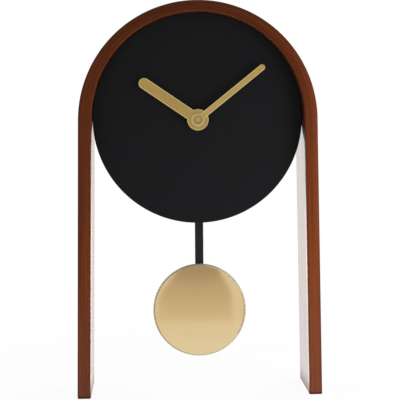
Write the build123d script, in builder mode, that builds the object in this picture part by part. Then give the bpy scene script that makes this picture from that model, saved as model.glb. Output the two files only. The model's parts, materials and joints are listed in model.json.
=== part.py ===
# Desk pendulum clock: bent wooden arch, round dial, battery movement and pendulum.
# Millimetres. +Z is up, the dial faces -Y, and the origin is on the table under the middle of the clock.
from build123d import *

import os
from collections import namedtuple
from math import acos, cos, pi, radians, sin, tan

os.makedirs("parts", exist_ok=True)

# Wooden arch, thinner at the crown than in its legs
overall_height = 305.0
arch_radius = 91.4
leg_thickness = 10.4
crown_thickness = 8.4
frame_depth = 50.0
leg_splay = 1.05
edge_round = 1.2

# Fits shared by the whole clock
fit_clearance = 0.02
running_clearance = 0.05
wheel_clearance = 0.4

# Dial and the pins that carry it in the arch
dial_gap = 0.2
dial_thickness = 6.0
dial_setback = 12.5
dial_edge_round = 0.5
pin_radius = 1.5
pin_in_dial = 10.0
wood_over_pin = 4.0
pin_angles = (30.0, 90.0, 150.0)

# Hands, a little below the middle of the dial, with angles clockwise from twelve
hand_drop = 0.85
rest_hour = 10
hours_on_dial = 12
minute_angle = 51.3
hand_thickness = 0.8
hand_bevel = 0.25
hour_hand_length = 53.8
hour_hand_width = 8.4
hour_hub_radius = 8.2
minute_hand_length = 65.7
minute_hand_width = 4.6
minute_hub_radius = 5.2
cap_radius = 4.7
cap_height = 2.2
cap_roof = 1.0
cap_dish_radius = 3.4
cap_dish_depth = 0.5
cap_round = 0.6

# Bushing, washer and nut that clamp the movement to the dial
bushing_radius = 4.0
bushing_flange_radius = 6.0
bushing_flange_thickness = 0.8
bushing_proud = 0.4
bushing_hole_clearance = 0.25
gasket_radius = 10.0
gasket_thickness = 1.0
washer_radius = 6.5
washer_thickness = 0.5
nut_across_flats = 11.0
nut_sides = 6
nut_thickness = 2.0
hour_pipe_radius = 2.5
pipe_proud = 0.2
hour_hand_air = 0.6
minute_hand_air = 1.0
minute_shaft_radius = 1.7
hand_thread_radius = 1.4

# Movement case
case_wall = 1.5
bay_wall = 1.2
cover_thickness = 1.5
case_corner = 3.0
bay_ceiling_drop = 12.5
case_screw_boss = 2.2

# Battery and its leaf contacts
battery_radius = 7.25
battery_length = 50.5
battery_nub_radius = 2.75
battery_nub_length = 1.0
battery_clearance = 0.5
contact_room = 2.3
contact_thickness = 0.4
contact_height = 9.0
contact_depth = 11.0
leaf_half_chord = 4.0

# Wheels: one centre distance for the motion work and for the centre and third wheels
wheel_distance = 9.0
cannon_teeth = 12
minute_wheel_teeth = 36
minute_pinion_teeth = 10
hour_wheel_teeth = 40
centre_wheel_teeth = 80
third_wheel_teeth = 75
second_wheel_teeth = 60
intermediate_wheel_teeth = 60
train_pinion_teeth = 10
rotor_teeth = 12
pressure_angle = 25.0
tooth_share = 0.44
addendum = 0.8
dedendum = 1.1
motion_width = 1.4
train_width = 1.1
layer_gap = 0.4
plate_thickness = 1.2
third_bearing = 165.0
minute_bearing = 30.0
knob_bearing = 60.0
intermediate_bearing = 100.0
rotor_bearing = 130.0

# Arbors, pivots and their bosses
arbor_radius = 0.5
pivot_radius = 0.4
pivot_length = 1.4
rear_stub_radius = 1.2
clutch_washer_radius = 2.2
minute_post_radius = 0.6
minute_hub_wall = 0.65
third_boss = 0.9
intermediate_boss = 0.8
rotor_boss = 1.2
pillar_radius = 1.6

# Setting knob
knob_shaft_radius = 1.5
knob_pivot_radius = 0.7
knob_boss = 1.6
knob_radius = 5.5
knob_thickness = 2.6
knob_grooves = 24
knob_groove_radius = 0.4

# Stepping motor
magnet_radius = 2.4
rotor_air = 0.3
rotor_hub_radius = 0.8
stator_thickness = 0.9
stator_bar_half = 3.4
stator_half_length = 11.5
stator_arm = 4.0
coil_flange = 7.2
coil_flange_thickness = 0.6
coil_winding_size = 6.2
coil_tube_wall = 0.6
core_width = 3.0
coil_air = 1.4

# Circuit board
board_thickness = 1.0
board_post = 1.5
chip_size = 5.0
chip_height = 1.2
crystal_radius = 1.0
crystal_length = 6.0

# Screws
screw_shank_radius = 0.5
screw_head_radius = 1.1
screw_head_height = 0.7
case_screw_shank_radius = 0.9
case_screw_head_radius = 1.9
case_screw_head_height = 1.0
screw_bite = 4.0
slot_share = 0.3

# Pendulum drive, a little to the right of the hand axis
pendulum_side = 1.1
swing_limit = 12.0
pivot_pin_radius = 1.0
pivot_boss = 2.2
pivot_boss_height = 2.0
pin_cover = 0.7
hub_radius = 3.0
hub_air = 2.0
hanger_width = 5.0
hanger_thickness = 2.0
magnet_drop = 22.0
swing_magnet_radius = 4.0
swing_magnet_length = 4.6
magnet_cup_wall = 1.0
magnet_air = 1.2
case_below_magnet = 9.0
swing_coil_length = 4.9
swing_coil_flange_radius = 6.0
swing_coil_winding_radius = 5.6
swing_coil_tube_radius = 2.2
swing_coil_bore = 1.5
swing_board_width = 22.0
swing_board_height = 15.0
slot_air = 1.5

# Pendulum rod and bob
peg_drop = 4.0
peg_radius = 1.0
peg_flange_radius = 1.8
peg_flange_thickness = 0.6
rod_width = 6.6
rod_thickness = 1.0
rod_gap = 0.3
keyhole_drop = 4.5
rod_tail = 15.0
bob_height = 63.5
bob_radius = 37.0
bob_depth = 12.5
bob_lip = 2.5
bob_edge_round = 3.0
bob_wall = 0.8
bob_back_thickness = 0.8
clip_thickness = 0.6
clip_height = 9.0
clip_foot = 5.0
rivet_radius = 0.8
rivet_head_radius = 1.4
rivet_head_height = 0.5

# Heights are measured from the hand axis; the inner and outer bends of the wood have their own centres
inner_radius = arch_radius - leg_thickness
axis_z = overall_height - crown_thickness - inner_radius - hand_drop
outer_bend_at = (0.0, overall_height - arch_radius - axis_z)
inner_bend_at = (0.0, hand_drop)
dial_radius = inner_radius - dial_gap
hour_angle = (360.0 * rest_hour + minute_angle) / hours_on_dial

# Depths in front of the dial, from the dial towards the viewer
dial_front = dial_setback - frame_depth / 2
dial_back = dial_front + dial_thickness
washer_front = dial_front - washer_thickness
nut_front = washer_front - nut_thickness
bushing_front = nut_front - bushing_proud
hour_hand_back = bushing_front - hour_hand_air
hour_hand_front = hour_hand_back - hand_thickness
pipe_front = hour_hand_front - pipe_proud
minute_hand_back = pipe_front - minute_hand_air
minute_hand_front = minute_hand_back - hand_thickness
cap_front = minute_hand_front - cap_height
thread_front = cap_front + cap_dish_depth + cap_roof

# Depths behind the dial: each layer of the movement is a front and a back
Layer = namedtuple("Layer", "front back")


def next_layer(before, width):
    """Layer of a given width, one running gap behind the layer before it."""
    front = before.back + layer_gap
    return Layer(front, front + width)


case_front = dial_back + gasket_thickness
front_wall = Layer(case_front, case_front + case_wall)
hour_layer = next_layer(front_wall, motion_width)
minute_layer = next_layer(hour_layer, motion_width)
centre_layer = next_layer(minute_layer, train_width)
third_layer = next_layer(centre_layer, train_width)
second_layer = next_layer(third_layer, train_width)
intermediate_layer = next_layer(second_layer, train_width)
plate_layer = next_layer(intermediate_layer, plate_thickness)
battery_y = front_wall.back + battery_clearance + battery_radius
cover_front = battery_y + battery_radius
cover_back = cover_front + cover_thickness
knob_front = cover_back + wheel_clearance
rotor_magnet_layer = Layer(third_layer.front, second_layer.back)
stator_middle = (rotor_magnet_layer.front + rotor_magnet_layer.back) / 2
stator_layer = Layer(stator_middle - stator_thickness / 2, stator_middle + stator_thickness / 2)
core_layer = Layer(stator_layer.back, stator_layer.back + stator_thickness)
board_layer = Layer(second_layer.front, second_layer.front + board_thickness)

# Wheels and pinions
Gear = namedtuple("Gear", "teeth module")


def gear_for(teeth, mate_teeth, distance):
    """Gear whose module suits the distance to its mate."""
    return Gear(teeth, 2 * distance / (teeth + mate_teeth))


def pitch_radius(gear):
    return gear.teeth * gear.module / 2


def outer_radius(gear):
    """Radius over the tips of the teeth."""
    return pitch_radius(gear) + addendum * gear.module


def inner_tooth_radius(gear):
    """Radius at the bottom of the tooth spaces."""
    return pitch_radius(gear) - dedendum * gear.module


cannon_gear = gear_for(cannon_teeth, minute_wheel_teeth, wheel_distance)
minute_gear = gear_for(minute_wheel_teeth, cannon_teeth, wheel_distance)
minute_pinion = gear_for(minute_pinion_teeth, hour_wheel_teeth, wheel_distance)
hour_gear = gear_for(hour_wheel_teeth, minute_pinion_teeth, wheel_distance)
knob_gear = cannon_gear
centre_gear = gear_for(centre_wheel_teeth, train_pinion_teeth, wheel_distance)
third_pinion = gear_for(train_pinion_teeth, centre_wheel_teeth, wheel_distance)
third_gear = gear_for(third_wheel_teeth, train_pinion_teeth, wheel_distance)
second_pinion = gear_for(train_pinion_teeth, third_wheel_teeth, wheel_distance)
intermediate_distance = outer_radius(centre_gear) + intermediate_boss + wheel_clearance / 2
second_gear = gear_for(second_wheel_teeth, train_pinion_teeth, intermediate_distance)
intermediate_pinion = gear_for(train_pinion_teeth, second_wheel_teeth, intermediate_distance)
intermediate_gear = Gear(intermediate_wheel_teeth, centre_gear.module)
rotor_gear = Gear(rotor_teeth, centre_gear.module)
rotor_distance = pitch_radius(intermediate_gear) + pitch_radius(rotor_gear)


def beside(start, distance, bearing):
    """Point at a distance from another, its bearing counted anticlockwise from the right."""
    return (start[0] + distance * cos(radians(bearing)), start[1] + distance * sin(radians(bearing)))


centre_at = (0.0, 0.0)
third_at = beside(centre_at, wheel_distance, third_bearing)
minute_at = beside(centre_at, wheel_distance, minute_bearing)
knob_at = beside(minute_at, wheel_distance, knob_bearing)
intermediate_at = beside(centre_at, intermediate_distance, intermediate_bearing)
rotor_at = beside(intermediate_at, rotor_distance, rotor_bearing)


def mate_phase(gear, phase, mate, bearing):
    """Angle of one tooth of the mate, so that its space faces a tooth across the line of centres."""
    along = (bearing - phase) * gear.teeth / 360.0
    return bearing + 180.0 - (0.5 - along) * 360.0 / mate.teeth


minute_phase = mate_phase(cannon_gear, 0.0, minute_gear, minute_bearing)
knob_phase = mate_phase(minute_gear, minute_phase, knob_gear, knob_bearing)
hour_phase = mate_phase(minute_pinion, 0.0, hour_gear, minute_bearing + 180.0)
third_phase = mate_phase(centre_gear, 0.0, third_pinion, third_bearing)
second_phase = mate_phase(third_gear, 0.0, second_pinion, third_bearing + 180.0)
intermediate_phase = mate_phase(second_gear, 0.0, intermediate_pinion, intermediate_bearing)
rotor_phase = mate_phase(intermediate_gear, 0.0, rotor_gear, rotor_bearing)

# Places inside the case, beside and above the hand axis
inner_half_width = battery_length / 2 + contact_room
case_half_width = inner_half_width + case_wall
bay_ceiling = -bay_ceiling_drop
battery_at = bay_ceiling - battery_clearance - battery_radius
bay_floor = battery_at - battery_radius - battery_clearance
coil_at = (rotor_at[0], rotor_at[1] + stator_bar_half + coil_air + coil_flange / 2)
inner_top = coil_at[1] + coil_flange / 2 + wheel_clearance
case_top = inner_top + case_wall
pivot_at = (pendulum_side, bay_floor - bay_wall - hub_air - hub_radius)
magnet_at = (pendulum_side, pivot_at[1] - magnet_drop)
inner_bottom = magnet_at[1] - case_below_magnet
case_bottom = inner_bottom - case_wall
peg_at = (pendulum_side, case_bottom - peg_drop)
bob_at = (pendulum_side, bob_height - axis_z)

pillar_left = third_at[0] - outer_radius(third_gear) - wheel_clearance - pillar_radius
pillar_right = rotor_at[0] + stator_half_length + wheel_clearance + pillar_radius
pillar_low = bay_ceiling + bay_wall + wheel_clearance + pillar_radius
pillar_high = rotor_at[1] - stator_bar_half - wheel_clearance - pillar_radius
pillars = (
    (pillar_left, pillar_low),
    (pillar_left, pillar_high),
    (pillar_right, pillar_low),
    (pillar_right, rotor_at[1]),
)
stator_post_reach = stator_half_length - stator_arm / 2
stator_posts = tuple((rotor_at[0] + side * stator_post_reach, coil_at[1]) for side in (-1, 1))
board_left = pillar_right + pillar_radius + wheel_clearance
board_right = inner_half_width - wheel_clearance
board_low = bay_ceiling + bay_wall + wheel_clearance
board_high = knob_at[1] - outer_radius(knob_gear) - wheel_clearance
board_posts = (
    (board_left + board_post, board_low + board_post),
    (board_right - board_post, board_low + board_post),
    (board_right - board_post, board_high - board_post),
)
corner_inset = case_screw_boss - wheel_clearance
corner_x = inner_half_width - corner_inset
case_corners = tuple(
    (side * corner_x, height)
    for side in (-1, 1)
    for height in (inner_top - corner_inset, inner_bottom + corner_inset)
)

# Depths of the pendulum drive: coil on the cover, magnet in front of it, rod behind the hanger
swing_board_layer = Layer(cover_front - board_thickness, cover_front)
swing_coil_layer = Layer(swing_board_layer.front - swing_coil_length, swing_board_layer.front)
swing_magnet_back = swing_coil_layer.front - magnet_air
swing_magnet_layer = Layer(swing_magnet_back - swing_magnet_length, swing_magnet_back)
hanger_middle = (swing_magnet_layer.front + swing_magnet_layer.back) / 2
hanger_layer = Layer(hanger_middle - hanger_thickness / 2, hanger_middle + hanger_thickness / 2)
rod_layer = Layer(hanger_layer.back + rod_gap, hanger_layer.back + rod_gap + rod_thickness)
bob_rear = rod_layer.front - running_clearance
bob_back_layer = Layer(bob_rear - bob_back_thickness, bob_rear)
front_pivot_boss_top = front_wall.back + pivot_boss_height
rear_pivot_boss_top = cover_front - pivot_boss_height


def facing(depth, at=centre_at):
    """Plane that looks at the viewer at some depth, its origin placed from the hand axis."""
    return Plane(origin=(at[0], depth, axis_z + at[1]), x_dir=(1, 0, 0), z_dir=(0, -1, 0))


def turned(front, back, radius, at=centre_at, mode=Mode.ADD):
    """Cylinder parallel to the hand axis, between two depths."""
    with Locations(facing(back, at)):
        Cylinder(radius, back - front, align=(Align.CENTER, Align.CENTER, Align.MIN), mode=mode)


def slab(front, back, left, right, low, high, mode=Mode.ADD):
    """Rectangular block between two depths, with its sides placed from the hand axis."""
    middle = ((left + right) / 2, (low + high) / 2)
    with Locations(facing(back, middle)):
        size = (right - left, high - low, back - front)
        Box(*size, align=(Align.CENTER, Align.CENTER, Align.MIN), mode=mode)


def tooth_points(gear, phase):
    """Outline of the teeth: each flank runs in chords of its involute from root to tip and back."""
    pitch = pitch_radius(gear)
    base = pitch * cos(radians(pressure_angle))
    root = inner_tooth_radius(gear)
    flank = sorted({root, max(root, base), pitch, outer_radius(gear)})
    half_pitch_tooth = tooth_share * pi / gear.teeth

    def involute(radius):
        angle = acos(min(1.0, base / radius))
        return tan(angle) - angle

    half = {radius: half_pitch_tooth + involute(pitch) - involute(max(base, radius)) for radius in flank}
    points = []
    for tooth in range(gear.teeth):
        middle = radians(phase) + 2 * pi * tooth / gear.teeth
        rising = [(radius, middle - half[radius]) for radius in flank]
        falling = [(radius, middle + half[radius]) for radius in reversed(flank)]
        points += [(radius * cos(angle), radius * sin(angle)) for radius, angle in rising + falling]
    return points


def toothed(gear, layer, at=centre_at, phase=0.0):
    """Toothed wheel that fills a layer."""
    with BuildSketch(facing(layer.back, at)) as outline:
        with BuildLine():
            Polyline(*tooth_points(gear, phase), close=True)
        make_face()
    extrude(outline.sketch, amount=layer.back - layer.front)


def screw(under_head, at, shank, head, height, bite):
    """Slotted screw put in from the back."""
    turned(under_head - bite, under_head, shank, at)
    turned(under_head, under_head + height, head, at)
    slot = head * slot_share / 2
    top = under_head + height
    slab(top - height / 2, top, at[0] - head, at[0] + head, at[1] - slot, at[1] + slot, mode=Mode.SUBTRACT)


def small_screw(under_head, at):
    screw(under_head, at, screw_shank_radius, screw_head_radius, screw_head_height, screw_bite)


def save(piece, label):
    """Name a finished piece and write it to its own file."""
    piece.part.label = label
    export_step(piece.part, f"parts/{label}.step")


# Wooden arch: a bend with two legs that leave it tangentially and lean outwards
def leg_ends(radius, bend_at):
    """Crown of a bend, where a leg's face leaves it and where that face meets the table, on the right."""
    lean = radians(leg_splay)
    top = (radius * cos(lean), bend_at[1] + radius * sin(lean))
    foot = (top[0] + (axis_z + top[1]) * tan(lean), -axis_z)
    return (0.0, bend_at[1] + radius), top, foot


outer_crown, outer_top, outer_foot = leg_ends(arch_radius, outer_bend_at)
inner_crown, inner_leg_top, inner_foot = leg_ends(inner_radius, inner_bend_at)


def across(point):
    return (-point[0], point[1])


def dial_pin_plane(angle):
    """Plane square to a dial pin, at the inner end of the pin."""
    outward = (cos(radians(angle)), 0, sin(radians(angle)))
    reach = dial_radius - pin_in_dial
    middle = (dial_front + dial_back) / 2
    height = axis_z + inner_bend_at[1] + outward[2] * reach
    return Plane(origin=(outward[0] * reach, middle, height), z_dir=outward)


dial_pin_length = pin_in_dial + dial_gap + crown_thickness - wood_over_pin


def dial_pins_at(radius, length, mode=Mode.ADD):
    """Round pins or pin holes that run outwards from the dial into the arch."""
    for angle in pin_angles:
        with Locations(dial_pin_plane(angle)):
            Cylinder(radius, length, align=(Align.CENTER, Align.CENTER, Align.MIN), mode=mode)


with BuildPart() as arch_frame:
    with BuildSketch(facing(frame_depth / 2)):
        with BuildLine():
            Line(outer_foot, outer_top)
            ThreePointArc(outer_top, outer_crown, across(outer_top))
            Line(across(outer_top), across(outer_foot))
            Line(across(outer_foot), across(inner_foot))
            Line(across(inner_foot), across(inner_leg_top))
            ThreePointArc(across(inner_leg_top), inner_crown, inner_leg_top)
            Line(inner_leg_top, inner_foot)
            Line(inner_foot, outer_foot)
        make_face()
    extrude(amount=frame_depth)
    faces_fore_and_aft = arch_frame.faces().filter_by(Axis.Y)
    foot_edges = arch_frame.edges().filter_by(Axis.Y).group_by(Axis.Z)[0]
    fillet(faces_fore_and_aft.edges() + foot_edges, edge_round)
    dial_pins_at(pin_radius + fit_clearance, dial_pin_length + fit_clearance, mode=Mode.SUBTRACT)
save(arch_frame, "arch_frame")

# Dial: a disc that fills the inner bend
with BuildPart() as dial:
    turned(dial_front, dial_back, dial_radius, inner_bend_at)
    fillet(dial.edges().filter_by(GeomType.CIRCLE), dial_edge_round)
    turned(dial_front, dial_back, bushing_radius + bushing_hole_clearance, mode=Mode.SUBTRACT)
    dial_pins_at(pin_radius + fit_clearance, dial_pin_length, mode=Mode.SUBTRACT)
save(dial, "dial")

with BuildPart() as dial_pins:
    dial_pins_at(pin_radius, dial_pin_length)
save(dial_pins, "dial_pins")


# Hands and the cap that holds them
def hand_plane(depth, angle):
    """Plane that looks at the viewer and is turned so that its upward direction is along a hand."""
    turn = radians(angle)
    return Plane(origin=(0, depth, axis_z), x_dir=(cos(turn), 0, -sin(turn)), z_dir=(0, -1, 0))


def hand(front, back, angle, length, width, hub, bore):
    """Flat hand with straight sides, a round tip and a round hub, bevelled all round its front."""
    with BuildSketch(hand_plane(back, angle)) as blade:
        with Locations((0, (length - width / 2) / 2)):
            Rectangle(width, length - width / 2)
        with Locations((0, length - width / 2)):
            Circle(width / 2)
        Circle(hub)
    extrude(blade.sketch, amount=back - front)
    chamfer(faces().sort_by(Axis.Y)[0].edges(), hand_bevel)
    turned(front, back, bore, mode=Mode.SUBTRACT)


with BuildPart() as hour_hand:
    hand(
        hour_hand_front,
        hour_hand_back,
        hour_angle,
        hour_hand_length,
        hour_hand_width,
        hour_hub_radius,
        hour_pipe_radius + fit_clearance,
    )
save(hour_hand, "hour_hand")

with BuildPart() as minute_hand:
    hand(
        minute_hand_front,
        minute_hand_back,
        minute_angle,
        minute_hand_length,
        minute_hand_width,
        minute_hub_radius,
        hand_thread_radius + fit_clearance,
    )
save(minute_hand, "minute_hand")

with BuildPart() as hand_cap:
    turned(cap_front, minute_hand_front, cap_radius)
    fillet(hand_cap.edges().filter_by(GeomType.CIRCLE).sort_by(Axis.Y)[0], cap_round)
    turned(cap_front, cap_front + cap_dish_depth, cap_dish_radius, mode=Mode.SUBTRACT)
    turned(
        thread_front - fit_clearance,
        minute_hand_front,
        hand_thread_radius + fit_clearance,
        mode=Mode.SUBTRACT,
    )
save(hand_cap, "hand_cap")

# Clamping hardware
with BuildPart() as mounting_bushing:
    turned(bushing_front, front_wall.back, bushing_radius)
    turned(front_wall.back - bushing_flange_thickness, front_wall.back, bushing_flange_radius)
    turned(bushing_front, front_wall.back, hour_pipe_radius + running_clearance, mode=Mode.SUBTRACT)
save(mounting_bushing, "mounting_bushing")

with BuildPart() as gasket:
    turned(dial_back, case_front, gasket_radius)
    turned(dial_back, case_front, bushing_radius + bushing_hole_clearance, mode=Mode.SUBTRACT)
save(gasket, "gasket")

with BuildPart() as mounting_washer:
    turned(washer_front, dial_front, washer_radius)
    turned(washer_front, dial_front, bushing_radius + fit_clearance, mode=Mode.SUBTRACT)
save(mounting_washer, "mounting_washer")

with BuildPart() as mounting_nut:
    with BuildSketch(facing(washer_front)):
        RegularPolygon(nut_across_flats / 2, nut_sides, major_radius=False)
        Circle(bushing_radius + fit_clearance, mode=Mode.SUBTRACT)
    extrude(amount=nut_thickness)
save(mounting_nut, "mounting_nut")

# Movement case: an open tray with three rooms, bosses and pillars, and a flat cover
Boss = namedtuple("Boss", "at radius top bore depth")
third_boss_top = centre_layer.front - layer_gap
intermediate_boss_top = second_layer.front - layer_gap
rotor_boss_top = rotor_magnet_layer.front - layer_gap
knob_boss_top = minute_layer.front - layer_gap
pivot_bore = pivot_radius + running_clearance
small_screw_bore = screw_shank_radius + fit_clearance
case_screw_bore = case_screw_shank_radius + fit_clearance
knob_pivot_bore = knob_pivot_radius + running_clearance
swing_pin_bore = pivot_pin_radius + fit_clearance
pin_front = case_front + pin_cover
pin_back = cover_back - pin_cover
pivot_hole_depth = pivot_length + running_clearance
bosses = [
    Boss(third_at, third_boss, third_boss_top, pivot_bore, pivot_hole_depth),
    Boss(intermediate_at, intermediate_boss, intermediate_boss_top, pivot_bore, pivot_hole_depth),
    Boss(rotor_at, rotor_boss, rotor_boss_top, pivot_bore, pivot_hole_depth),
    Boss(knob_at, knob_boss, knob_boss_top, knob_pivot_bore, pivot_hole_depth),
    Boss(pivot_at, pivot_boss, front_pivot_boss_top, swing_pin_bore, front_pivot_boss_top - pin_front),
]
bosses += [Boss(at, pillar_radius, plate_layer.front, small_screw_bore, screw_bite) for at in pillars]
bosses += [Boss(at, pillar_radius, stator_layer.front, small_screw_bore, screw_bite) for at in stator_posts]
bosses += [Boss(at, board_post, board_layer.front, small_screw_bore, screw_bite) for at in board_posts]
bosses += [Boss(at, case_screw_boss, cover_front, case_screw_bore, screw_bite) for at in case_corners]
rooms = (
    (bay_ceiling + bay_wall, inner_top),
    (bay_floor, bay_ceiling),
    (inner_bottom, bay_floor - bay_wall),
)
slot_reach = (pivot_at[1] - case_bottom) * tan(radians(swing_limit))
slot_half_width = slot_reach + hanger_width / 2 / cos(radians(swing_limit)) + slot_air

with BuildPart() as front_case:
    slab(case_front, cover_front, -case_half_width, case_half_width, case_bottom, case_top)
    fillet(front_case.edges().filter_by(Axis.Y), case_corner)
    for low, high in rooms:
        slab(front_wall.back, cover_front, -inner_half_width, inner_half_width, low, high, mode=Mode.SUBTRACT)
    for boss in bosses:
        turned(front_wall.back, boss.top, boss.radius, boss.at)
    turned(front_wall.back, minute_layer.back, minute_post_radius, minute_at)
    for boss in bosses:
        turned(boss.top - boss.depth, boss.top, boss.bore, boss.at, mode=Mode.SUBTRACT)
    turned(case_front, front_wall.back, bushing_radius + fit_clearance, mode=Mode.SUBTRACT)
    turned(
        front_wall.back - bushing_flange_thickness,
        front_wall.back,
        bushing_flange_radius + fit_clearance,
        mode=Mode.SUBTRACT,
    )
    slab(
        hanger_layer.front - slot_air,
        cover_front,
        pendulum_side - slot_half_width,
        pendulum_side + slot_half_width,
        case_bottom,
        inner_bottom,
        mode=Mode.SUBTRACT,
    )
save(front_case, "front_case")

with BuildPart() as back_cover:
    slab(cover_front, cover_back, -case_half_width, case_half_width, case_bottom, case_top)
    fillet(back_cover.edges().filter_by(Axis.Y), case_corner)
    slab(
        cover_front,
        cover_back,
        -inner_half_width,
        inner_half_width,
        bay_floor,
        bay_ceiling,
        mode=Mode.SUBTRACT,
    )
    turned(rear_pivot_boss_top, cover_front, pivot_boss, pivot_at)
    turned(rear_pivot_boss_top, pin_back, swing_pin_bore, pivot_at, mode=Mode.SUBTRACT)
    turned(cover_front, cover_back, knob_shaft_radius + running_clearance, knob_at, mode=Mode.SUBTRACT)
    for corner in case_corners:
        turned(cover_front, cover_back, case_screw_bore, corner, mode=Mode.SUBTRACT)
save(back_cover, "back_cover")

with BuildPart() as case_screws:
    for corner in case_corners:
        screw(
            cover_back,
            corner,
            case_screw_shank_radius,
            case_screw_head_radius,
            case_screw_head_height,
            cover_thickness + screw_bite - wheel_clearance,
        )
save(case_screws, "case_screws")

# Train plate, which carries the rear pivots
with BuildPart() as train_plate:
    slab(
        plate_layer.front,
        plate_layer.back,
        pillar_left - pillar_radius,
        pillar_right + pillar_radius,
        pillar_low - pillar_radius,
        rotor_at[1] + pillar_radius,
    )
    fillet(train_plate.edges().filter_by(Axis.Y), pillar_radius)
    for wheel_at in (third_at, centre_at, intermediate_at, rotor_at):
        turned(plate_layer.front, plate_layer.back, pivot_bore, wheel_at, mode=Mode.SUBTRACT)
    for pillar in pillars:
        turned(plate_layer.front, plate_layer.back, small_screw_bore, pillar, mode=Mode.SUBTRACT)
save(train_plate, "train_plate")

with BuildPart() as train_plate_screws:
    for pillar in pillars:
        small_screw(plate_layer.back, pillar)
save(train_plate_screws, "train_plate_screws")


# Going train, from the hands back to the motor
def rear_pivot(at):
    """Arbor end and pivot that run in the train plate."""
    turned(intermediate_layer.front, plate_layer.front - layer_gap / 2, arbor_radius, at)
    turned(plate_layer.front - layer_gap / 2, plate_layer.back, pivot_radius, at)


stub_back = third_layer.front - running_clearance
with BuildPart() as minute_arbor:
    turned(thread_front, minute_hand_back, hand_thread_radius)
    turned(minute_hand_back, minute_layer.front, minute_shaft_radius)
    toothed(cannon_gear, minute_layer)
    turned(minute_layer.front, stub_back, rear_stub_radius)
    turned(stub_back - pivot_length, stub_back, pivot_bore, mode=Mode.SUBTRACT)
save(minute_arbor, "minute_arbor")

with BuildPart() as clutch_washer:
    turned(centre_layer.back + running_clearance, stub_back, clutch_washer_radius)
    turned(centre_layer.back, stub_back, rear_stub_radius + fit_clearance, mode=Mode.SUBTRACT)
save(clutch_washer, "clutch_washer")

with BuildPart() as hour_wheel:
    toothed(hour_gear, hour_layer, phase=hour_phase)
    turned(pipe_front, hour_layer.back, hour_pipe_radius)
    turned(pipe_front, hour_layer.back, minute_shaft_radius + running_clearance, mode=Mode.SUBTRACT)
save(hour_wheel, "hour_wheel")

with BuildPart() as minute_wheel:
    toothed(minute_pinion, hour_layer, minute_at)
    toothed(minute_gear, minute_layer, minute_at, minute_phase)
    turned(hour_layer.front, minute_layer.back, minute_post_radius + minute_hub_wall, minute_at)
    turned(
        hour_layer.front,
        minute_layer.back,
        minute_post_radius + running_clearance,
        minute_at,
        mode=Mode.SUBTRACT,
    )
save(minute_wheel, "minute_wheel")

with BuildPart() as centre_wheel:
    toothed(centre_gear, centre_layer)
    turned(
        centre_layer.front,
        centre_layer.back,
        rear_stub_radius + running_clearance,
        mode=Mode.SUBTRACT,
    )
save(centre_wheel, "centre_wheel")

with BuildPart() as third_wheel:
    turned(third_boss_top - pivot_length, centre_layer.front, pivot_radius, third_at)
    toothed(third_pinion, centre_layer, third_at, third_phase)
    toothed(third_gear, third_layer, third_at)
    turned(centre_layer.front, intermediate_layer.front, arbor_radius, third_at)
    rear_pivot(third_at)
save(third_wheel, "third_wheel")

with BuildPart() as second_wheel:
    turned(stub_back - pivot_length + running_clearance, third_layer.front, pivot_radius)
    toothed(second_pinion, third_layer, phase=second_phase)
    toothed(second_gear, second_layer)
    turned(third_layer.front, intermediate_layer.front, arbor_radius)
    rear_pivot(centre_at)
save(second_wheel, "second_wheel")

with BuildPart() as intermediate_wheel:
    turned(intermediate_boss_top - pivot_length, second_layer.front, pivot_radius, intermediate_at)
    toothed(intermediate_pinion, second_layer, intermediate_at, intermediate_phase)
    turned(second_layer.front, intermediate_layer.front, arbor_radius, intermediate_at)
    toothed(intermediate_gear, intermediate_layer, intermediate_at)
    rear_pivot(intermediate_at)
save(intermediate_wheel, "intermediate_wheel")

with BuildPart() as rotor_pinion:
    turned(rotor_boss_top - pivot_length, rotor_magnet_layer.front, pivot_radius, rotor_at)
    turned(rotor_magnet_layer.front, intermediate_layer.front, rotor_hub_radius, rotor_at)
    toothed(rotor_gear, intermediate_layer, rotor_at, rotor_phase)
    rear_pivot(rotor_at)
save(rotor_pinion, "rotor_pinion")

with BuildPart() as rotor_magnet:
    turned(rotor_magnet_layer.front, rotor_magnet_layer.back, magnet_radius, rotor_at)
    turned(
        rotor_magnet_layer.front,
        rotor_magnet_layer.back,
        rotor_hub_radius + fit_clearance,
        rotor_at,
        mode=Mode.SUBTRACT,
    )
save(rotor_magnet, "rotor_magnet")

with BuildPart() as setting_knob:
    turned(knob_boss_top - pivot_length, minute_layer.front, knob_pivot_radius, knob_at)
    toothed(knob_gear, minute_layer, knob_at, knob_phase)
    turned(minute_layer.front, knob_front, knob_shaft_radius, knob_at)
    turned(knob_front, knob_front + knob_thickness, knob_radius, knob_at)
    with Locations(facing(knob_front + knob_thickness, knob_at)):
        with PolarLocations(knob_radius, knob_grooves):
            Cylinder(
                knob_groove_radius,
                knob_thickness,
                align=(Align.CENTER, Align.CENTER, Align.MIN),
                mode=Mode.SUBTRACT,
            )
save(setting_knob, "setting_knob")

# Stepping motor: stator plate, core and coil
stator_left = rotor_at[0] - stator_half_length
stator_right = rotor_at[0] + stator_half_length
core_low = coil_at[1] - core_width / 2
core_high = coil_at[1] + core_width / 2
with BuildPart() as stator:
    slab(
        stator_layer.front,
        stator_layer.back,
        stator_left,
        stator_right,
        rotor_at[1] - stator_bar_half,
        rotor_at[1] + stator_bar_half,
    )
    for arm_left in (stator_left, stator_right - stator_arm):
        slab(
            stator_layer.front,
            stator_layer.back,
            arm_left,
            arm_left + stator_arm,
            rotor_at[1],
            core_high,
        )
    turned(stator_layer.front, stator_layer.back, magnet_radius + rotor_air, rotor_at, mode=Mode.SUBTRACT)
    for post in stator_posts:
        turned(stator_layer.front, stator_layer.back, small_screw_bore, post, mode=Mode.SUBTRACT)
save(stator, "stator")

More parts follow.
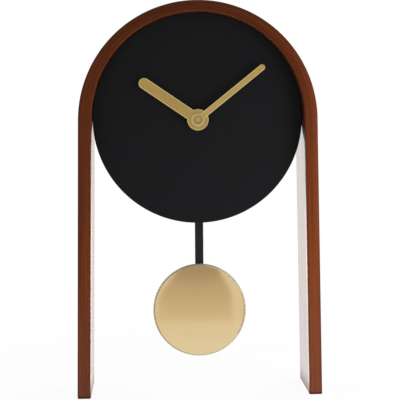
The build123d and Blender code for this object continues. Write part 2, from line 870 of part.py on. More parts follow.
with BuildPart() as coil_core:
    slab(core_layer.front, core_layer.back, stator_left, stator_right, core_low, core_high)
    for post in stator_posts:
        turned(core_layer.front, core_layer.back, small_screw_bore, post, mode=Mode.SUBTRACT)
save(coil_core, "coil_core")

with BuildPart() as stator_screws:
    for post in stator_posts:
        small_screw(core_layer.back, post)
save(stator_screws, "stator_screws")

coil_half_length = stator_half_length - stator_arm - wheel_clearance
core_middle = (core_layer.front + core_layer.back) / 2
core_half = stator_thickness / 2 + running_clearance
tube_half = core_half + coil_tube_wall
core_half_width = core_width / 2 + running_clearance
tube_half_width = core_half_width + coil_tube_wall


def around_core(half_depth, half_height, left, right, mode=Mode.ADD):
    """Square-cornered block centred on the coil's core."""
    slab(
        core_middle - half_depth,
        core_middle + half_depth,
        coil_at[0] + left,
        coil_at[0] + right,
        coil_at[1] - half_height,
        coil_at[1] + half_height,
        mode=mode,
    )


flange_inner = coil_half_length - coil_flange_thickness
with BuildPart() as coil_bobbin:
    around_core(tube_half, tube_half_width, -coil_half_length, coil_half_length)
    around_core(coil_flange / 2, coil_flange / 2, -coil_half_length, -flange_inner)
    around_core(coil_flange / 2, coil_flange / 2, flange_inner, coil_half_length)
    around_core(core_half, core_half_width, -coil_half_length, coil_half_length, mode=Mode.SUBTRACT)
save(coil_bobbin, "coil_bobbin")

with BuildPart() as coil_winding:
    around_core(coil_winding_size / 2, coil_winding_size / 2, -flange_inner, flange_inner)
    around_core(tube_half, tube_half_width, -flange_inner, flange_inner, mode=Mode.SUBTRACT)
save(coil_winding, "coil_winding")

# Circuit board with its chip and crystal
board_middle = ((board_left + board_right) / 2, (board_low + board_high) / 2)
with BuildPart() as circuit_board:
    slab(board_layer.front, board_layer.back, board_left, board_right, board_low, board_high)
    for post in board_posts:
        turned(board_layer.front, board_layer.back, small_screw_bore, post, mode=Mode.SUBTRACT)
save(circuit_board, "circuit_board")

with BuildPart() as board_screws:
    for post in board_posts:
        small_screw(board_layer.back, post)
save(board_screws, "board_screws")

chip_right = board_middle[0] - wheel_clearance
with BuildPart() as timing_chip:
    slab(
        board_layer.back,
        board_layer.back + chip_height,
        chip_right - chip_size,
        chip_right,
        board_middle[1] - chip_size / 2,
        board_middle[1] + chip_size / 2,
    )
save(timing_chip, "timing_chip")

crystal_y = board_layer.back + crystal_radius + fit_clearance
crystal_foot = (
    board_middle[0] + crystal_radius + wheel_clearance,
    crystal_y,
    axis_z + board_middle[1] - crystal_length / 2,
)
with BuildPart() as quartz_crystal:
    with Locations(Plane(origin=crystal_foot)):
        Cylinder(crystal_radius, crystal_length, align=(Align.CENTER, Align.CENTER, Align.MIN))
save(quartz_crystal, "quartz_crystal")

# Battery across its bay, positive end to the left, and a bowed leaf contact at each end
battery_start = (-battery_length / 2, battery_y, axis_z + battery_at)
battery_body_start = (battery_nub_length - battery_length / 2, battery_y, axis_z + battery_at)
with BuildPart() as battery:
    with Locations(Plane(origin=battery_start, z_dir=(1, 0, 0))):
        Cylinder(battery_nub_radius, battery_length, align=(Align.CENTER, Align.CENTER, Align.MIN))
    with Locations(Plane(origin=battery_body_start, z_dir=(1, 0, 0))):
        Cylinder(
            battery_radius,
            battery_length - battery_nub_length,
            align=(Align.CENTER, Align.CENTER, Align.MIN),
        )
save(battery, "battery")


def leaf_contact(side):
    """Strip on the end wall of the bay with a leaf that bows out to the end of the battery."""
    bow = contact_room - running_clearance
    bend = (bow**2 + leaf_half_chord**2) / (2 * bow)
    wall_x = side * inner_half_width
    plate_x = side * (inner_half_width - contact_thickness / 2)
    tip_x = wall_x - side * bow
    with BuildSketch(Plane.XY.offset(axis_z + battery_at - contact_height / 2)) as leaf:
        with Locations((tip_x + side * bend, battery_y)):
            Circle(bend)
            Circle(bend - contact_thickness, mode=Mode.SUBTRACT)
        with Locations(((tip_x + plate_x) / 2, battery_y)):
            Rectangle(abs(plate_x - tip_x), 2 * bend, mode=Mode.INTERSECT)
        with Locations((plate_x, battery_y)):
            Rectangle(contact_thickness, contact_depth)
    extrude(leaf.sketch, amount=contact_height)


with BuildPart() as positive_contact:
    leaf_contact(-1)
save(positive_contact, "positive_contact")

with BuildPart() as negative_contact:
    leaf_contact(1)
save(negative_contact, "negative_contact")

# Pendulum drive
with BuildPart() as pendulum_pivot_pin:
    turned(pin_front, pin_back, pivot_pin_radius, pivot_at)
save(pendulum_pivot_pin, "pendulum_pivot_pin")

cup_radius = swing_magnet_radius + magnet_cup_wall
hanger_left = pendulum_side - hanger_width / 2
peg_neck_back = rod_layer.back + running_clearance
with BuildPart() as pendulum_hanger:
    turned(front_pivot_boss_top + layer_gap, rear_pivot_boss_top - layer_gap, hub_radius, pivot_at)
    turned(hanger_layer.front, hanger_layer.back, hanger_width / 2, peg_at)
    slab(
        hanger_layer.front,
        hanger_layer.back,
        hanger_left,
        hanger_left + hanger_width,
        peg_at[1],
        pivot_at[1],
    )
    turned(swing_magnet_layer.front, swing_magnet_layer.back, cup_radius, magnet_at)
    turned(hanger_layer.back, peg_neck_back, peg_radius, peg_at)
    turned(peg_neck_back, peg_neck_back + peg_flange_thickness, peg_flange_radius, peg_at)
    turned(
        swing_magnet_layer.front,
        swing_magnet_layer.back,
        swing_magnet_radius + fit_clearance,
        magnet_at,
        mode=Mode.SUBTRACT,
    )
    turned(front_wall.back, cover_front, pivot_pin_radius + running_clearance, pivot_at, mode=Mode.SUBTRACT)
save(pendulum_hanger, "pendulum_hanger")

with BuildPart() as pendulum_magnet:
    turned(swing_magnet_layer.front, swing_magnet_layer.back, swing_magnet_radius, magnet_at)
save(pendulum_magnet, "pendulum_magnet")

with BuildPart() as pendulum_board:
    slab(
        swing_board_layer.front,
        swing_board_layer.back,
        magnet_at[0] - swing_board_width / 2,
        magnet_at[0] + swing_board_width / 2,
        magnet_at[1] - swing_board_height / 2,
        magnet_at[1] + swing_board_height / 2,
    )
save(pendulum_board, "pendulum_board")

swing_winding_layer = Layer(
    swing_coil_layer.front + coil_flange_thickness,
    swing_coil_layer.back - coil_flange_thickness,
)
with BuildPart() as pendulum_coil_bobbin:
    turned(swing_coil_layer.front, swing_coil_layer.back, swing_coil_tube_radius, magnet_at)
    turned(swing_coil_layer.front, swing_winding_layer.front, swing_coil_flange_radius, magnet_at)
    turned(swing_winding_layer.back, swing_coil_layer.back, swing_coil_flange_radius, magnet_at)
    turned(swing_coil_layer.front, swing_coil_layer.back, swing_coil_bore, magnet_at, mode=Mode.SUBTRACT)
save(pendulum_coil_bobbin, "pendulum_coil_bobbin")

with BuildPart() as pendulum_coil_winding:
    turned(swing_winding_layer.front, swing_winding_layer.back, swing_coil_winding_radius, magnet_at)
    turned(
        swing_winding_layer.front,
        swing_winding_layer.back,
        swing_coil_tube_radius + fit_clearance,
        magnet_at,
        mode=Mode.SUBTRACT,
    )
save(pendulum_coil_winding, "pendulum_coil_winding")

# Pendulum rod: a flat strip that hangs on the peg by a keyhole
keyhole_at = (pendulum_side, peg_at[1] - keyhole_drop)
peg_bore = peg_radius + running_clearance
keyhole_left = pendulum_side - peg_bore
keyhole_right = pendulum_side + peg_bore
with BuildPart() as pendulum_rod:
    slab(
        rod_layer.front,
        rod_layer.back,
        pendulum_side - rod_width / 2,
        pendulum_side + rod_width / 2,
        bob_at[1] - rod_tail,
        peg_at[1],
    )
    turned(rod_layer.front, rod_layer.back, rod_width / 2, peg_at)
    turned(rod_layer.front, rod_layer.back, peg_bore, peg_at, mode=Mode.SUBTRACT)
    slab(
        rod_layer.front,
        rod_layer.back,
        keyhole_left,
        keyhole_right,
        keyhole_at[1],
        peg_at[1],
        mode=Mode.SUBTRACT,
    )
    turned(
        rod_layer.front,
        rod_layer.back,
        peg_flange_radius + 2 * running_clearance,
        keyhole_at,
        mode=Mode.SUBTRACT,
    )
save(pendulum_rod, "pendulum_rod")


# Bob: a domed shell with a flat back plate and a clip that grips the rod
def dome(radius, depth, lip, corner, mode=Mode.ADD):
    """Domed disc about the bob's own axis: a straight lip, a rounded shoulder and a shallow sphere."""
    rise = depth - lip
    sphere = (radius**2 + rise**2) / (2 * rise)
    quarter = radius / 2
    middle = (quarter, lip + (sphere**2 - quarter**2) ** 0.5 - (sphere - rise))
    rear_centre = (bob_at[0], bob_rear, axis_z + bob_at[1])
    with BuildSketch(Plane(origin=rear_centre, x_dir=(1, 0, 0), z_dir=(0, 0, -1))) as half:
        with BuildLine():
            Line((0, 0), (radius, 0))
            Line((radius, 0), (radius, lip))
            ThreePointArc((radius, lip), middle, (0, depth))
            Line((0, depth), (0, 0))
        make_face()
        fillet(half.vertices().group_by(Axis.X)[-1].sort_by(Axis.Y)[-1], corner)
    revolve(half.sketch, Axis(origin=rear_centre, direction=(0, 1, 0)), mode=mode)


with BuildPart() as bob_shell:
    dome(bob_radius, bob_depth, bob_lip, bob_edge_round)
    dome(
        bob_radius - bob_wall,
        bob_depth - bob_wall,
        bob_lip - bob_wall / 2,
        bob_edge_round - bob_wall,
        mode=Mode.SUBTRACT,
    )
save(bob_shell, "bob_shell")

clip_inner = rod_width / 2 + fit_clearance
clip_outer = clip_inner + clip_thickness
clip_end = clip_outer + clip_foot
clip_low = bob_at[1] - clip_height / 2
clip_high = bob_at[1] + clip_height / 2
bridge_front = rod_layer.back + fit_clearance
bridge_back = bridge_front + clip_thickness
foot_back = bob_rear + clip_thickness
rivet_at = tuple((bob_at[0] + side * (clip_outer + clip_foot / 2), bob_at[1]) for side in (-1, 1))
with BuildPart() as bob_back:
    turned(bob_back_layer.front, bob_back_layer.back, bob_radius - bob_wall - fit_clearance, bob_at)
    for rivet in rivet_at:
        turned(
            bob_back_layer.front,
            bob_back_layer.back,
            rivet_radius + fit_clearance,
            rivet,
            mode=Mode.SUBTRACT,
        )
save(bob_back, "bob_back")


def clip_slab(front, back, left, right):
    """Part of the clip between two depths, with its sides placed from the middle of the bob."""
    slab(front, back, bob_at[0] + left, bob_at[0] + right, clip_low, clip_high)


with BuildPart() as bob_clip:
    clip_slab(bridge_front, bridge_back, -clip_outer, clip_outer)
    for left, right in ((-clip_end, -clip_inner), (clip_inner, clip_end)):
        clip_slab(bob_rear, foot_back, left, right)
    for left, right in ((-clip_outer, -clip_inner), (clip_inner, clip_outer)):
        clip_slab(bob_rear, bridge_back, left, right)
    for rivet in rivet_at:
        turned(bob_rear, foot_back, rivet_radius + fit_clearance, rivet, mode=Mode.SUBTRACT)
save(bob_clip, "bob_clip")

with BuildPart() as clip_rivets:
    for rivet in rivet_at:
        turned(bob_back_layer.front - rivet_head_height, bob_back_layer.front, rivet_head_radius, rivet)
        turned(bob_back_layer.front, foot_back, rivet_radius, rivet)
        turned(foot_back, foot_back + rivet_head_height, rivet_head_radius, rivet)
save(clip_rivets, "clip_rivets")
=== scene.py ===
"""Desk pendulum clock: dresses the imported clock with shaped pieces, finishes and a plain studio."""
import json
from math import pi, radians

import bmesh
import bpy
import numpy as np
from bpy.props import FloatProperty, FloatVectorProperty, IntProperty, PointerProperty
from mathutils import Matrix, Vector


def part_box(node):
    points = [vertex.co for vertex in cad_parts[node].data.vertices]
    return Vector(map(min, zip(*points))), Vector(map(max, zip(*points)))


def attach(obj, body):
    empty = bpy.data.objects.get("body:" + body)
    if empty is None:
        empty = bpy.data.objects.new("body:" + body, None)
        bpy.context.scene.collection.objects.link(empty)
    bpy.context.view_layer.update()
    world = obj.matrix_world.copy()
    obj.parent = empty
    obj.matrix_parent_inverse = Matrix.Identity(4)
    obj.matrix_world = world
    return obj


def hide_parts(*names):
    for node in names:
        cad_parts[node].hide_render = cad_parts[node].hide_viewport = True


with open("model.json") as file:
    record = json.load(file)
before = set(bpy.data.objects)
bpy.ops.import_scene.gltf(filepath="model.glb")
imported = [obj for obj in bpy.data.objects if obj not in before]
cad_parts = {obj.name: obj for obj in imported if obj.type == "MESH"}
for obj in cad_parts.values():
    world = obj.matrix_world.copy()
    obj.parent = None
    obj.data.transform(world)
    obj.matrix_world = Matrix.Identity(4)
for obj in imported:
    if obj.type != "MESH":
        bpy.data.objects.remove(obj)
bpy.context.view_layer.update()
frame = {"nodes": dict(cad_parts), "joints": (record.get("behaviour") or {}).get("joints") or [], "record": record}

bl_info = {
    "name": "Desk Pendulum Clock",
    "version": (1, 0, 0),
    "blender": (4, 5, 0),
    "location": "3D View > Sidebar > Clock",
    "description": "Arch, dial, hands, pendulum and battery movement of a desk clock",
    "category": "Object",
}

JOINT_AT = {joint["name"]: np.array(joint["pos_m"]) for joint in frame["joints"]}
HAND_AXIS = JOINT_AT["minute_hand_turn"]
ARCH_LOW, ARCH_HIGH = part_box("arch_frame")
DIAL_LOW, DIAL_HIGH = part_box("dial")
HOUR_LOW, HOUR_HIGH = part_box("hour_hand")
MINUTE_LOW, MINUTE_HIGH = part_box("minute_hand")
CAP_LOW, CAP_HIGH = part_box("hand_cap")
BOB_LOW, BOB_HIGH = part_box("bob_shell")
CELL_LOW, CELL_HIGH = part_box("battery")

# Counts of points: rows of the arch on a foot's round, a leg and the bend, then steps along a
# hand's side, tip and hub, and on the rounds of the turned pieces
FOOT_ROWS, LEG_ROWS, BEND_ROWS = 7, 41, 241
SIDE_STEPS, TIP_STEPS, HUB_STEPS = 25, 28, 72
ROUND_STEPS = 6
SHOULDER_STEPS = 14
SPHERE_STEPS = 6 * SHOULDER_STEPS

# Section of the wood: shares of a straight side that have points, and the least corner radius
SIDE_SHARES = (0.01, 0.04, 0.12, 0.3, 0.5, 0.7, 0.88, 0.96, 0.99)
LEAST_CORNER = 1e-5

# Distances below which points are joined and faces count as slivers
JOIN, SLIVER = 1e-7, 1e-8

# Marks on the wood: where on the inner round the painted highlight line starts and over what share
# it grows, nearness that counts as on the face, strength of the painted highlight strip behind
# it, heights over which marks fade at the floor and the bend, share left at the floor, and mean
# lacquer on the inside with its fall from the middle to the back
HIGHLIGHT_START, HIGHLIGHT_GROWTH = 0.43, 0.55
ON_FACE = 0.99
HIGHLIGHT_STRIP_SHARE = 0.8
FLOOR_FADE, FLOOR_SHARE = 0.0145, 0.1
BEND_FADE = 0.03
LACQUER_MEAN, LACQUER_FALL = 0.925, 0.075

# Hands: brightness of the gold on each piece, painted light that makes one gold lighter or
# darker per piece, inset of the flat front and fall of the bevel in widths of the bevel, and edge
# marks, a painted highlight, from the bore at the back over wall and bevel to the front
HOUR_PAINTED_LIGHT, MINUTE_PAINTED_LIGHT, CAP_PAINTED_LIGHT = 0.96, 1.12, 1.0
FLAT_INSET = 1.3
BEVEL_FALL = 0.6
HAND_HIGHLIGHTS = (0.0, 1.0, 1.0, 0.8, 0.0, 0.0)

# Cap: depth of the sag in its hollow, points of the sag in shares of the hollow's radius and of
# that depth, their edge marks, painted highlight at the middle and painted shade further out,
# steps of the slope and the rim, and height of the band at its back
CAP_SAG = 0.0001
SAG_SHARES = ((0.0, 1.0), (0.25, 0.8), (0.6, 0.0))
SAG_LIGHT_AND_SHADE = (0.7, 0.5, -0.5)
SLOPE_STEPS, RIM_STEPS = 5, 8
CAP_BAND = 0.0002

# Bob: points of the profile that are dull, the fade after them, and dull points of the inner wall
DULL_POINTS = 11
DULL_FADE = (0.8, 0.6, 0.35, 0.15)
DULL_INNER_POINTS = 4

# Battery: roll of its shoulders, how many rolls its end rims and the hollow of its base lie inside
# the sleeve, steps of the nub's round, rise of the disc, depth of the hollow, length of the band
CELL_ROLL = 0.0006
RIM_ROLLS, HOLLOW_ROLLS = 3, 4
NUB_STEPS = 4
DISC_RISE = 0.0001
BASE_HOLLOW = 0.0003
CELL_BAND = 0.013

# Stage: lamps (name, place, size, watts), half the floor's width, camera, and colours. The room's
# tint goes by height, from 0 straight down to 1 straight up. Last come the extra light that is
# mirrored from behind the clock and the strength of the even light
LAMPS = (
    ("lamp_right", (0.26, -0.17, 0.13), 0.2, 0.80),
    ("lamp_left", (-0.22, -0.17, 0.03), 0.15, 0.22),
    ("lamp_behind_left", (-0.8, 0.55, 0.30), 0.5, 12.0),
    ("lamp_behind_right", (0.8, 0.55, 0.30), 0.5, 12.0),
)
FLOOR_REACH = 4.0
CAMERA_LENS, CAMERA_SENSOR = 94.5, 36.0
CAMERA_PLACE = (-0.037801, -0.824633, 0.219858)
CAMERA_DEGREES = (85.265, 0.440, -2.792)
WHITE = (1.0, 1.0, 1.0)
FLOOR_TINT = (0.9, 0.9, 0.9)
OPEN_SIDE_TINT = (0.92, 0.90, 0.87)
ROOM_TINTS = (
    (0.33, (0.85, 0.78, 0.69)),
    (0.50, (0.75, 0.68, 0.56)),
    (0.70, (0.65, 0.575, 0.49)),
    (0.83, (0.50, 0.445, 0.36)),
)
BACK_GLOW = 0.1
EVEN_LIGHT = 0.03


def srgb(red, green, blue):
    """Linear colour of a screen colour given in steps of 255."""
    share = np.array([red, green, blue]) / 255
    curve = ((share + 0.055) / 1.055) ** 2.4
    return tuple(float(part) for part in np.where(share <= 0.04045, share / 12.92, curve))


def length(name, description, default):
    """Property for a length in metres."""
    return FloatProperty(
        name=name, description=description, default=default, min=0.0, unit="LENGTH", precision=5
    )


def degrees(name, description, default):
    """Property for an angle, with its default given in degrees."""
    return FloatProperty(
        name=name, description=description, default=radians(default), subtype="ANGLE"
    )


def colour(name, description, default):
    """Property for a colour."""
    return FloatVectorProperty(
        name=name,
        description=description,
        default=default,
        subtype="COLOR",
        size=3,
        min=0.0,
        max=1.0,
    )


class ClockSizes(bpy.types.PropertyGroup):
    """Sizes of the shaped pieces: lengths in metres, angles, gloss and divisions"""

    arch_radius: length("Arch radius", "Radius of the outer bend of the wood", 0.0914)
    leg_thickness: length("Leg thickness", "Thickness of the wooden strip in its legs", 0.0104)
    crown_thickness: length("Crown thickness", "Thickness of the strip at the top", 0.0084)
    wood_round: length("Wood edge round", "Radius of the rounded edges of the wood", 0.0012)
    grain_start: length("Grain start", "Place along the board where the strip was cut", 0.6)
    # The same width sets the painted highlight strip inside the legs and where the lacquer outside thins.
    rubbed_and_highlight_width: length("Rubbed width", "How far the rubbed lacquer reaches from an edge", 0.006)
    left_gloss: FloatProperty(
        name="Left gloss",
        description="Share of the lacquer on the inside of the left leg",
        default=0.56,
        min=0.0,
        max=1.0,
    )
    leg_splay: degrees("Leg splay", "Outward lean of each leg", 1.05)
    dial_round: length("Dial edge round", "Radius of the rounded rim of the dial", 0.0005)
    dial_bore: length("Dial bore", "Radius of the hole in the dial", 0.00425)
    dial_snug: length("Dial snug fit", "How far paint closes the joint of dial and wood", 0.00015)
    hour_length: length("Hour hand length", "From the axis to the tip", 0.0538)
    hour_width: length("Hour hand width", "Width of the blade", 0.0084)
    hour_hub: length("Hour hub radius", "Radius of the round end at the axis", 0.0082)
    hour_bore: length("Hour hand bore", "Radius of the hole for the pipe", 0.00252)
    hour_angle: degrees("Hour angle", "Clockwise from twelve", 304.275)
    minute_length: length("Minute hand length", "From the axis to the tip", 0.0657)
    minute_width: length("Minute hand width", "Width of the blade", 0.0046)
    minute_hub: length("Minute hub radius", "Radius of the round end at the axis", 0.0052)
    minute_bore: length("Minute hand bore", "Radius of the hole for the thread", 0.00142)
    minute_angle: degrees("Minute angle", "Clockwise from twelve", 51.3)
    hand_bevel: length("Hand bevel", "Width of the bevelled edge of a hand", 0.0006)
    cap_dish: length("Cap dish radius", "Radius of the hollow in the cap", 0.0034)
    cap_dish_depth: length("Cap dish depth", "Depth of the hollow in the cap", 0.0005)
    cap_round: length("Cap rim round", "Radius of the rounded rim of the cap", 0.0006)
    bob_lip: length("Bob lip", "Height of the straight wall of the bob", 0.0025)
    bob_round: length("Bob shoulder round", "Radius between the bob's wall and its dome", 0.0030)
    bob_wall: length("Bob wall", "Thickness of the spun sheet", 0.0008)
    cell_nub: length("Cell nub radius", "Radius of the raised end of the battery", 0.00275)
    cell_nub_length: length("Cell nub length", "Height of the raised end of the battery", 0.0010)
    segments: IntProperty(
        name="Segments", description="Divisions round a turned piece", default=192, min=24
    )


class ClockColours(bpy.types.PropertyGroup):
    """Colours of the finishes"""

    wood_light: colour("Wood, light", "Light streaks of the lacquered wood", srgb(126, 62, 31))
    wood_dark: colour("Wood, dark", "Dark streaks of the lacquered wood", srgb(98, 44, 19))
    # Pale colour painted on the inner front rounds and the strip behind them: a painted highlight.
    wood_edge_highlight: colour("Wood edge", "Inner edges, lacquer rubbed thin", srgb(242, 212, 194))
    # Also the dark colour of the painted shade on the outer rounds and the painted shadow at the feet.
    wood_pore_and_shade: colour("Wood pores", "Open pores of the wood", srgb(52, 22, 12))
    # Pale grey mixed into the wood, most at the floor and none from 12 cm up.
    wood_floor_pale: colour("Wood haze", "Dull bloom of the lacquer near the feet", srgb(187, 180, 167))
    dial_black: colour("Dial", "Matt black paint", srgb(19, 20, 24))
    hand_gold: colour("Hands", "Satin gold", srgb(200, 175, 113))
    # Paler gold painted on the walls and bevels of the hands: a painted highlight.
    hand_edge_highlight: colour("Hand edges", "Paler gold on edges", (0.98, 0.85, 0.50))
    bob_brass: colour("Bob", "Satin brass", srgb(226, 203, 156))
    bob_rim: colour("Bob rim", "Dulled brass on the wall of the bob", srgb(192, 188, 170))
    rod_black: colour("Rod", "Black paint", srgb(34, 35, 36))
    plastic_black: colour("Case plastic", "Moulded black plastic", srgb(30, 30, 31))
    plastic_pale: colour("Wheel plastic", "Moulded pale plastic", srgb(226, 223, 214))
    plastic_bobbin: colour("Bobbin plastic", "Moulded cream plastic", srgb(206, 200, 182))
    steel: colour("Steel", "Plated steel", srgb(176, 176, 178))
    iron: colour("Motor iron", "Stamped iron", srgb(150, 150, 154))
    magnet: colour("Magnets", "Sintered magnet", srgb(84, 84, 86))
    brass: colour("Brass", "Turned brass", srgb(198, 164, 92))
    copper: colour("Copper wire", "Enamelled winding", srgb(168, 88, 48))
    board: colour("Board", "Green circuit board", srgb(34, 92, 58))
    chip: colour("Chip", "Black resin", srgb(26, 26, 27))
    rubber: colour("Gasket", "Black rubber", srgb(24, 24, 24))
    sleeve: colour("Battery sleeve", "Plain sleeve of the cell", srgb(58, 62, 68))
    sleeve_band: colour("Battery band", "Pale band at the raised end", srgb(188, 190, 192))


def sizes():
    """Sizes that the scene holds."""
    return bpy.context.scene.clock_sizes


def colours():
    """Colours that the scene holds."""
    return bpy.context.scene.clock_colours


# Node trees
def opaque(tint):
    """Colour with full cover; the output of a node is passed on as it is."""
    return tint if isinstance(tint, bpy.types.NodeSocket) else (*tuple(tint)[:3], 1.0)


def shade_of(tint, share):
    """Colour times a share."""
    return tuple(part * share for part in tint)


class Finish:
    """Node tree of a material or a world under construction.

    Nodes are added by kind, and an input takes a value or another node's output.
    """

    def __init__(self, block):
        block.use_nodes = True
        self.block = block
        self.tree = block.node_tree
        self.tree.nodes.clear()

    def add(self, kind, inputs=None, **settings):
        """Node of a kind with its settings and inputs."""
        node = self.tree.nodes.new("ShaderNode" + kind)
        for key, value in settings.items():
            setattr(node, key, value)
        for key, value in (inputs or {}).items():
            if isinstance(value, bpy.types.NodeSocket):
                self.tree.links.new(value, node.inputs[key])
            else:
                node.inputs[key].default_value = value
        return node

    def math(self, operation, *values):
        """Result of an operation on one or two values."""
        return self.add("Math", dict(enumerate(values)), operation=operation).outputs[0]

    def mix(self, share, first, second):
        """Colour between two colours."""
        inputs = {0: share, 6: opaque(first), 7: opaque(second)}
        return self.add("Mix", inputs, data_type="RGBA").outputs[2]

    def blend(self, share, first, second):
        """Shader between two shaders."""
        return self.add("MixShader", {0: share, 1: first, 2: second}).outputs[0]

    def spread(self, value, to, over=(0.0, 1.0)):
        """Value carried smoothly from one range over to another, held at its ends."""
        inputs = {"Value": value, "To Min": to[0], "To Max": to[1]}
        inputs.update({"From Min": over[0], "From Max": over[1]})
        return self.add("MapRange", inputs, interpolation_type="SMOOTHSTEP").outputs["Result"]

    def place(self):
        """Place on the piece, in metres."""
        return self.add("TexCoord").outputs["Object"]

    def parts(self, vector):
        """The X, Y and Z outputs of a vector."""
        return self.add("SeparateXYZ", {"Vector": vector}).outputs

    def mark(self, name, kind="Fac"):
        """Value that the points of the mesh carry under a name."""
        return self.add("Attribute", attribute_name=name).outputs[kind]

    def noise(self, place, scale, detail=3.0, stretch=(1, 1, 1), turn=(0, 0, 0)):
        """Noise at a place, stretched along the axes of the pattern."""
        spot = self.add("Mapping", {"Vector": place, "Scale": stretch, "Rotation": turn}).outputs[0]
        cloud = self.add("TexNoise", {"Vector": spot, "Scale": scale, "Detail": detail})
        return cloud.outputs["Fac"]

    def done(self, values, bump):
        """Material with a principled surface and a bump: (height, strength, distance)."""
        height, strength, distance = bump
        inputs = {"Height": height, "Strength": strength, "Distance": distance}
        raised = self.add("Bump", inputs).outputs[0]
        shader = self.add("BsdfPrincipled", {**values, "Normal": raised}).outputs[0]
        self.add("OutputMaterial", {"Surface": shader})
        return self.block


def new_finish(name):
    """Finish on a new material."""
    return Finish(bpy.data.materials.new(name))


def plain_finish(
    name, base, metallic, rough, grain, depth, stretch=(1, 1, 1), tone=0.12, coat=0.0, level=0.5
):
    """Finish with fine grain: noise tints the colour, varies the gloss and raises a slight bump."""
    made = new_finish(name)
    place = made.place()
    fine = made.noise(place, grain, 4.0, stretch)
    broad = made.noise(place, 55.0)
    shade = made.spread(made.math("MULTIPLY", fine, broad), to=(0.0, 1.0), over=(0.1, 0.45))
    darker = shade_of(base, 1.0 - 2.0 * tone)
    lighter = tuple(min(1.0, part) for part in shade_of(base, 1.0 + tone))
    values = {
        "Base Color": made.mix(shade, darker, lighter),
        "Metallic": metallic,
        "Roughness": made.spread(broad, to=(rough * 0.85, rough * 1.2), over=(0.3, 0.7)),
        "Specular IOR Level": level,
    }
    if coat:
        values.update({"Coat Weight": coat, "Coat Roughness": 0.2})
    return made.done(values, bump=(fine, 0.25, depth))


def lacquered_wood():
    """Brown wood under lacquer: streaks, pores and edge lines follow the strip round its bend.
    The edge lines are painted light: a painted highlight on the inner front rounds and the strip
    behind them, painted shade on the outer rounds, and a painted shadow along the feet.
    """
    tints = colours()
    made = new_finish("lacquered_wood")
    grain = made.mark("grain", "Vector")
    edge = made.mark("edge")
    lacquer = made.mark("lacquer")
    height = made.parts(made.place())["Z"]
    streak = made.noise(grain, 1.0, 5.0, stretch=(9.0, 620.0, 430.0))
    broad = made.noise(grain, 1.0, 3.0, stretch=(4.0, 130.0, 70.0))
    pores = made.noise(grain, 1.0, 2.0, stretch=(70.0, 2600.0, 2600.0))
    tone = made.spread(made.math("ADD", streak, broad), to=(0.0, 1.0), over=(0.7, 1.3))
    stained = made.mix(tone, tints.wood_dark, tints.wood_light)
    pore = made.spread(pores, to=(0.0, 0.55), over=(0.60, 0.74))
    pored = made.mix(pore, stained, tints.wood_pore_and_shade)
    # Pale grey mixed in, most at the floor and none from 12 cm up.
    floor_pale_share = made.spread(height, to=(0.024, 0.0), over=(0.0, 0.12))
    floor_paled = made.mix(floor_pale_share, pored, tints.wood_floor_pale)
    # Painted shade: the outer rounds are darkened towards the pore colour.
    painted_round_shade = made.spread(edge, to=(0.6, 0.0), over=(-1.0, -0.1))
    outside = made.mix(painted_round_shade, floor_paled, tints.wood_pore_and_shade)
    # Painted shadow: the bottom 3 mm of the feet, where they meet the table, are darkened.
    painted_foot_shadow = made.spread(height, to=(0.75, 0.0), over=(0.0008, 0.0028))
    foot_shadowed = made.mix(painted_foot_shadow, outside, tints.wood_pore_and_shade)
    # Painted highlight: pale colour on the inner front rounds and the strip behind them.
    painted_edge_highlight = made.spread(edge, to=(0.0, 0.95), over=(0.1, 0.8))
    relief = made.math("SUBTRACT", streak, pore)
    values = {
        "Base Color": made.mix(painted_edge_highlight, foot_shadowed, tints.wood_edge_highlight),
        "Roughness": made.spread(streak, to=(0.22, 0.34), over=(0.3, 0.7)),
        "IOR": 1.3,
        "Specular IOR Level": 0.2,
        "Coat Weight": made.spread(lacquer, to=(0.06, 1.0)),
        "Coat Roughness": 0.08,
        "Coat IOR": 1.55,
    }
    return made.done(values, bump=(relief, made.spread(lacquer, to=(0.12, 0.02)), 0.00012))


def matt_dial():
    """Matt black paint with the fine stipple that a spray leaves."""
    made = new_finish("matt_dial_paint")
    place = made.place()
    stipple = made.noise(place, 2600.0, 2.0)
    cloud = made.noise(place, 22.0)
    black = colours().dial_black
    share = made.spread(cloud, to=(0.0, 1.0), over=(0.35, 0.65))
    values = {
        "Base Color": made.mix(share, black, shade_of(black, 1.25)),
        "Roughness": made.spread(cloud, to=(0.50, 0.62), over=(0.3, 0.7)),
        "Specular IOR Level": 0.15,
    }
    return made.done(values, bump=(stipple, 0.2, 0.00005))


def satin_gold(name, angle, painted_brightness):
    """Satin gold, brushed along the hand, with a painted highlight on the edges and painted shade in the hollows.
    """
    tints = colours()
    made = new_finish(name)
    place = made.place()
    along = made.noise(place, 1.0, stretch=(5200.0, 5200.0, 160.0), turn=(0.0, angle, 0.0))
    cloud = made.noise(place, 90.0)
    edge = made.mark("edge")
    # Painted light: the gold is made lighter or darker per piece.
    gold = shade_of(tints.hand_gold, painted_brightness)
    brushed = made.spread(along, to=(0.0, 1.0), over=(0.35, 0.65))
    streaked = made.mix(brushed, shade_of(gold, 0.86), gold)
    # Painted highlight: the edges are made paler.
    pale = made.mix(made.spread(edge, to=(0.0, 0.3)), streaked, tints.hand_edge_highlight)
    # Painted shade: the hollows are darkened.
    hollow = made.spread(edge, to=(0.35, 0.0), over=(-1.0, 0.0))
    values = {
        "Base Color": made.mix(hollow, pale, shade_of(gold, 0.3)),
        "Metallic": 1.0,
        "Roughness": made.spread(cloud, to=(0.30, 0.40), over=(0.3, 0.7)),
    }
    return made.done(values, bump=(along, 0.1, 0.00003))


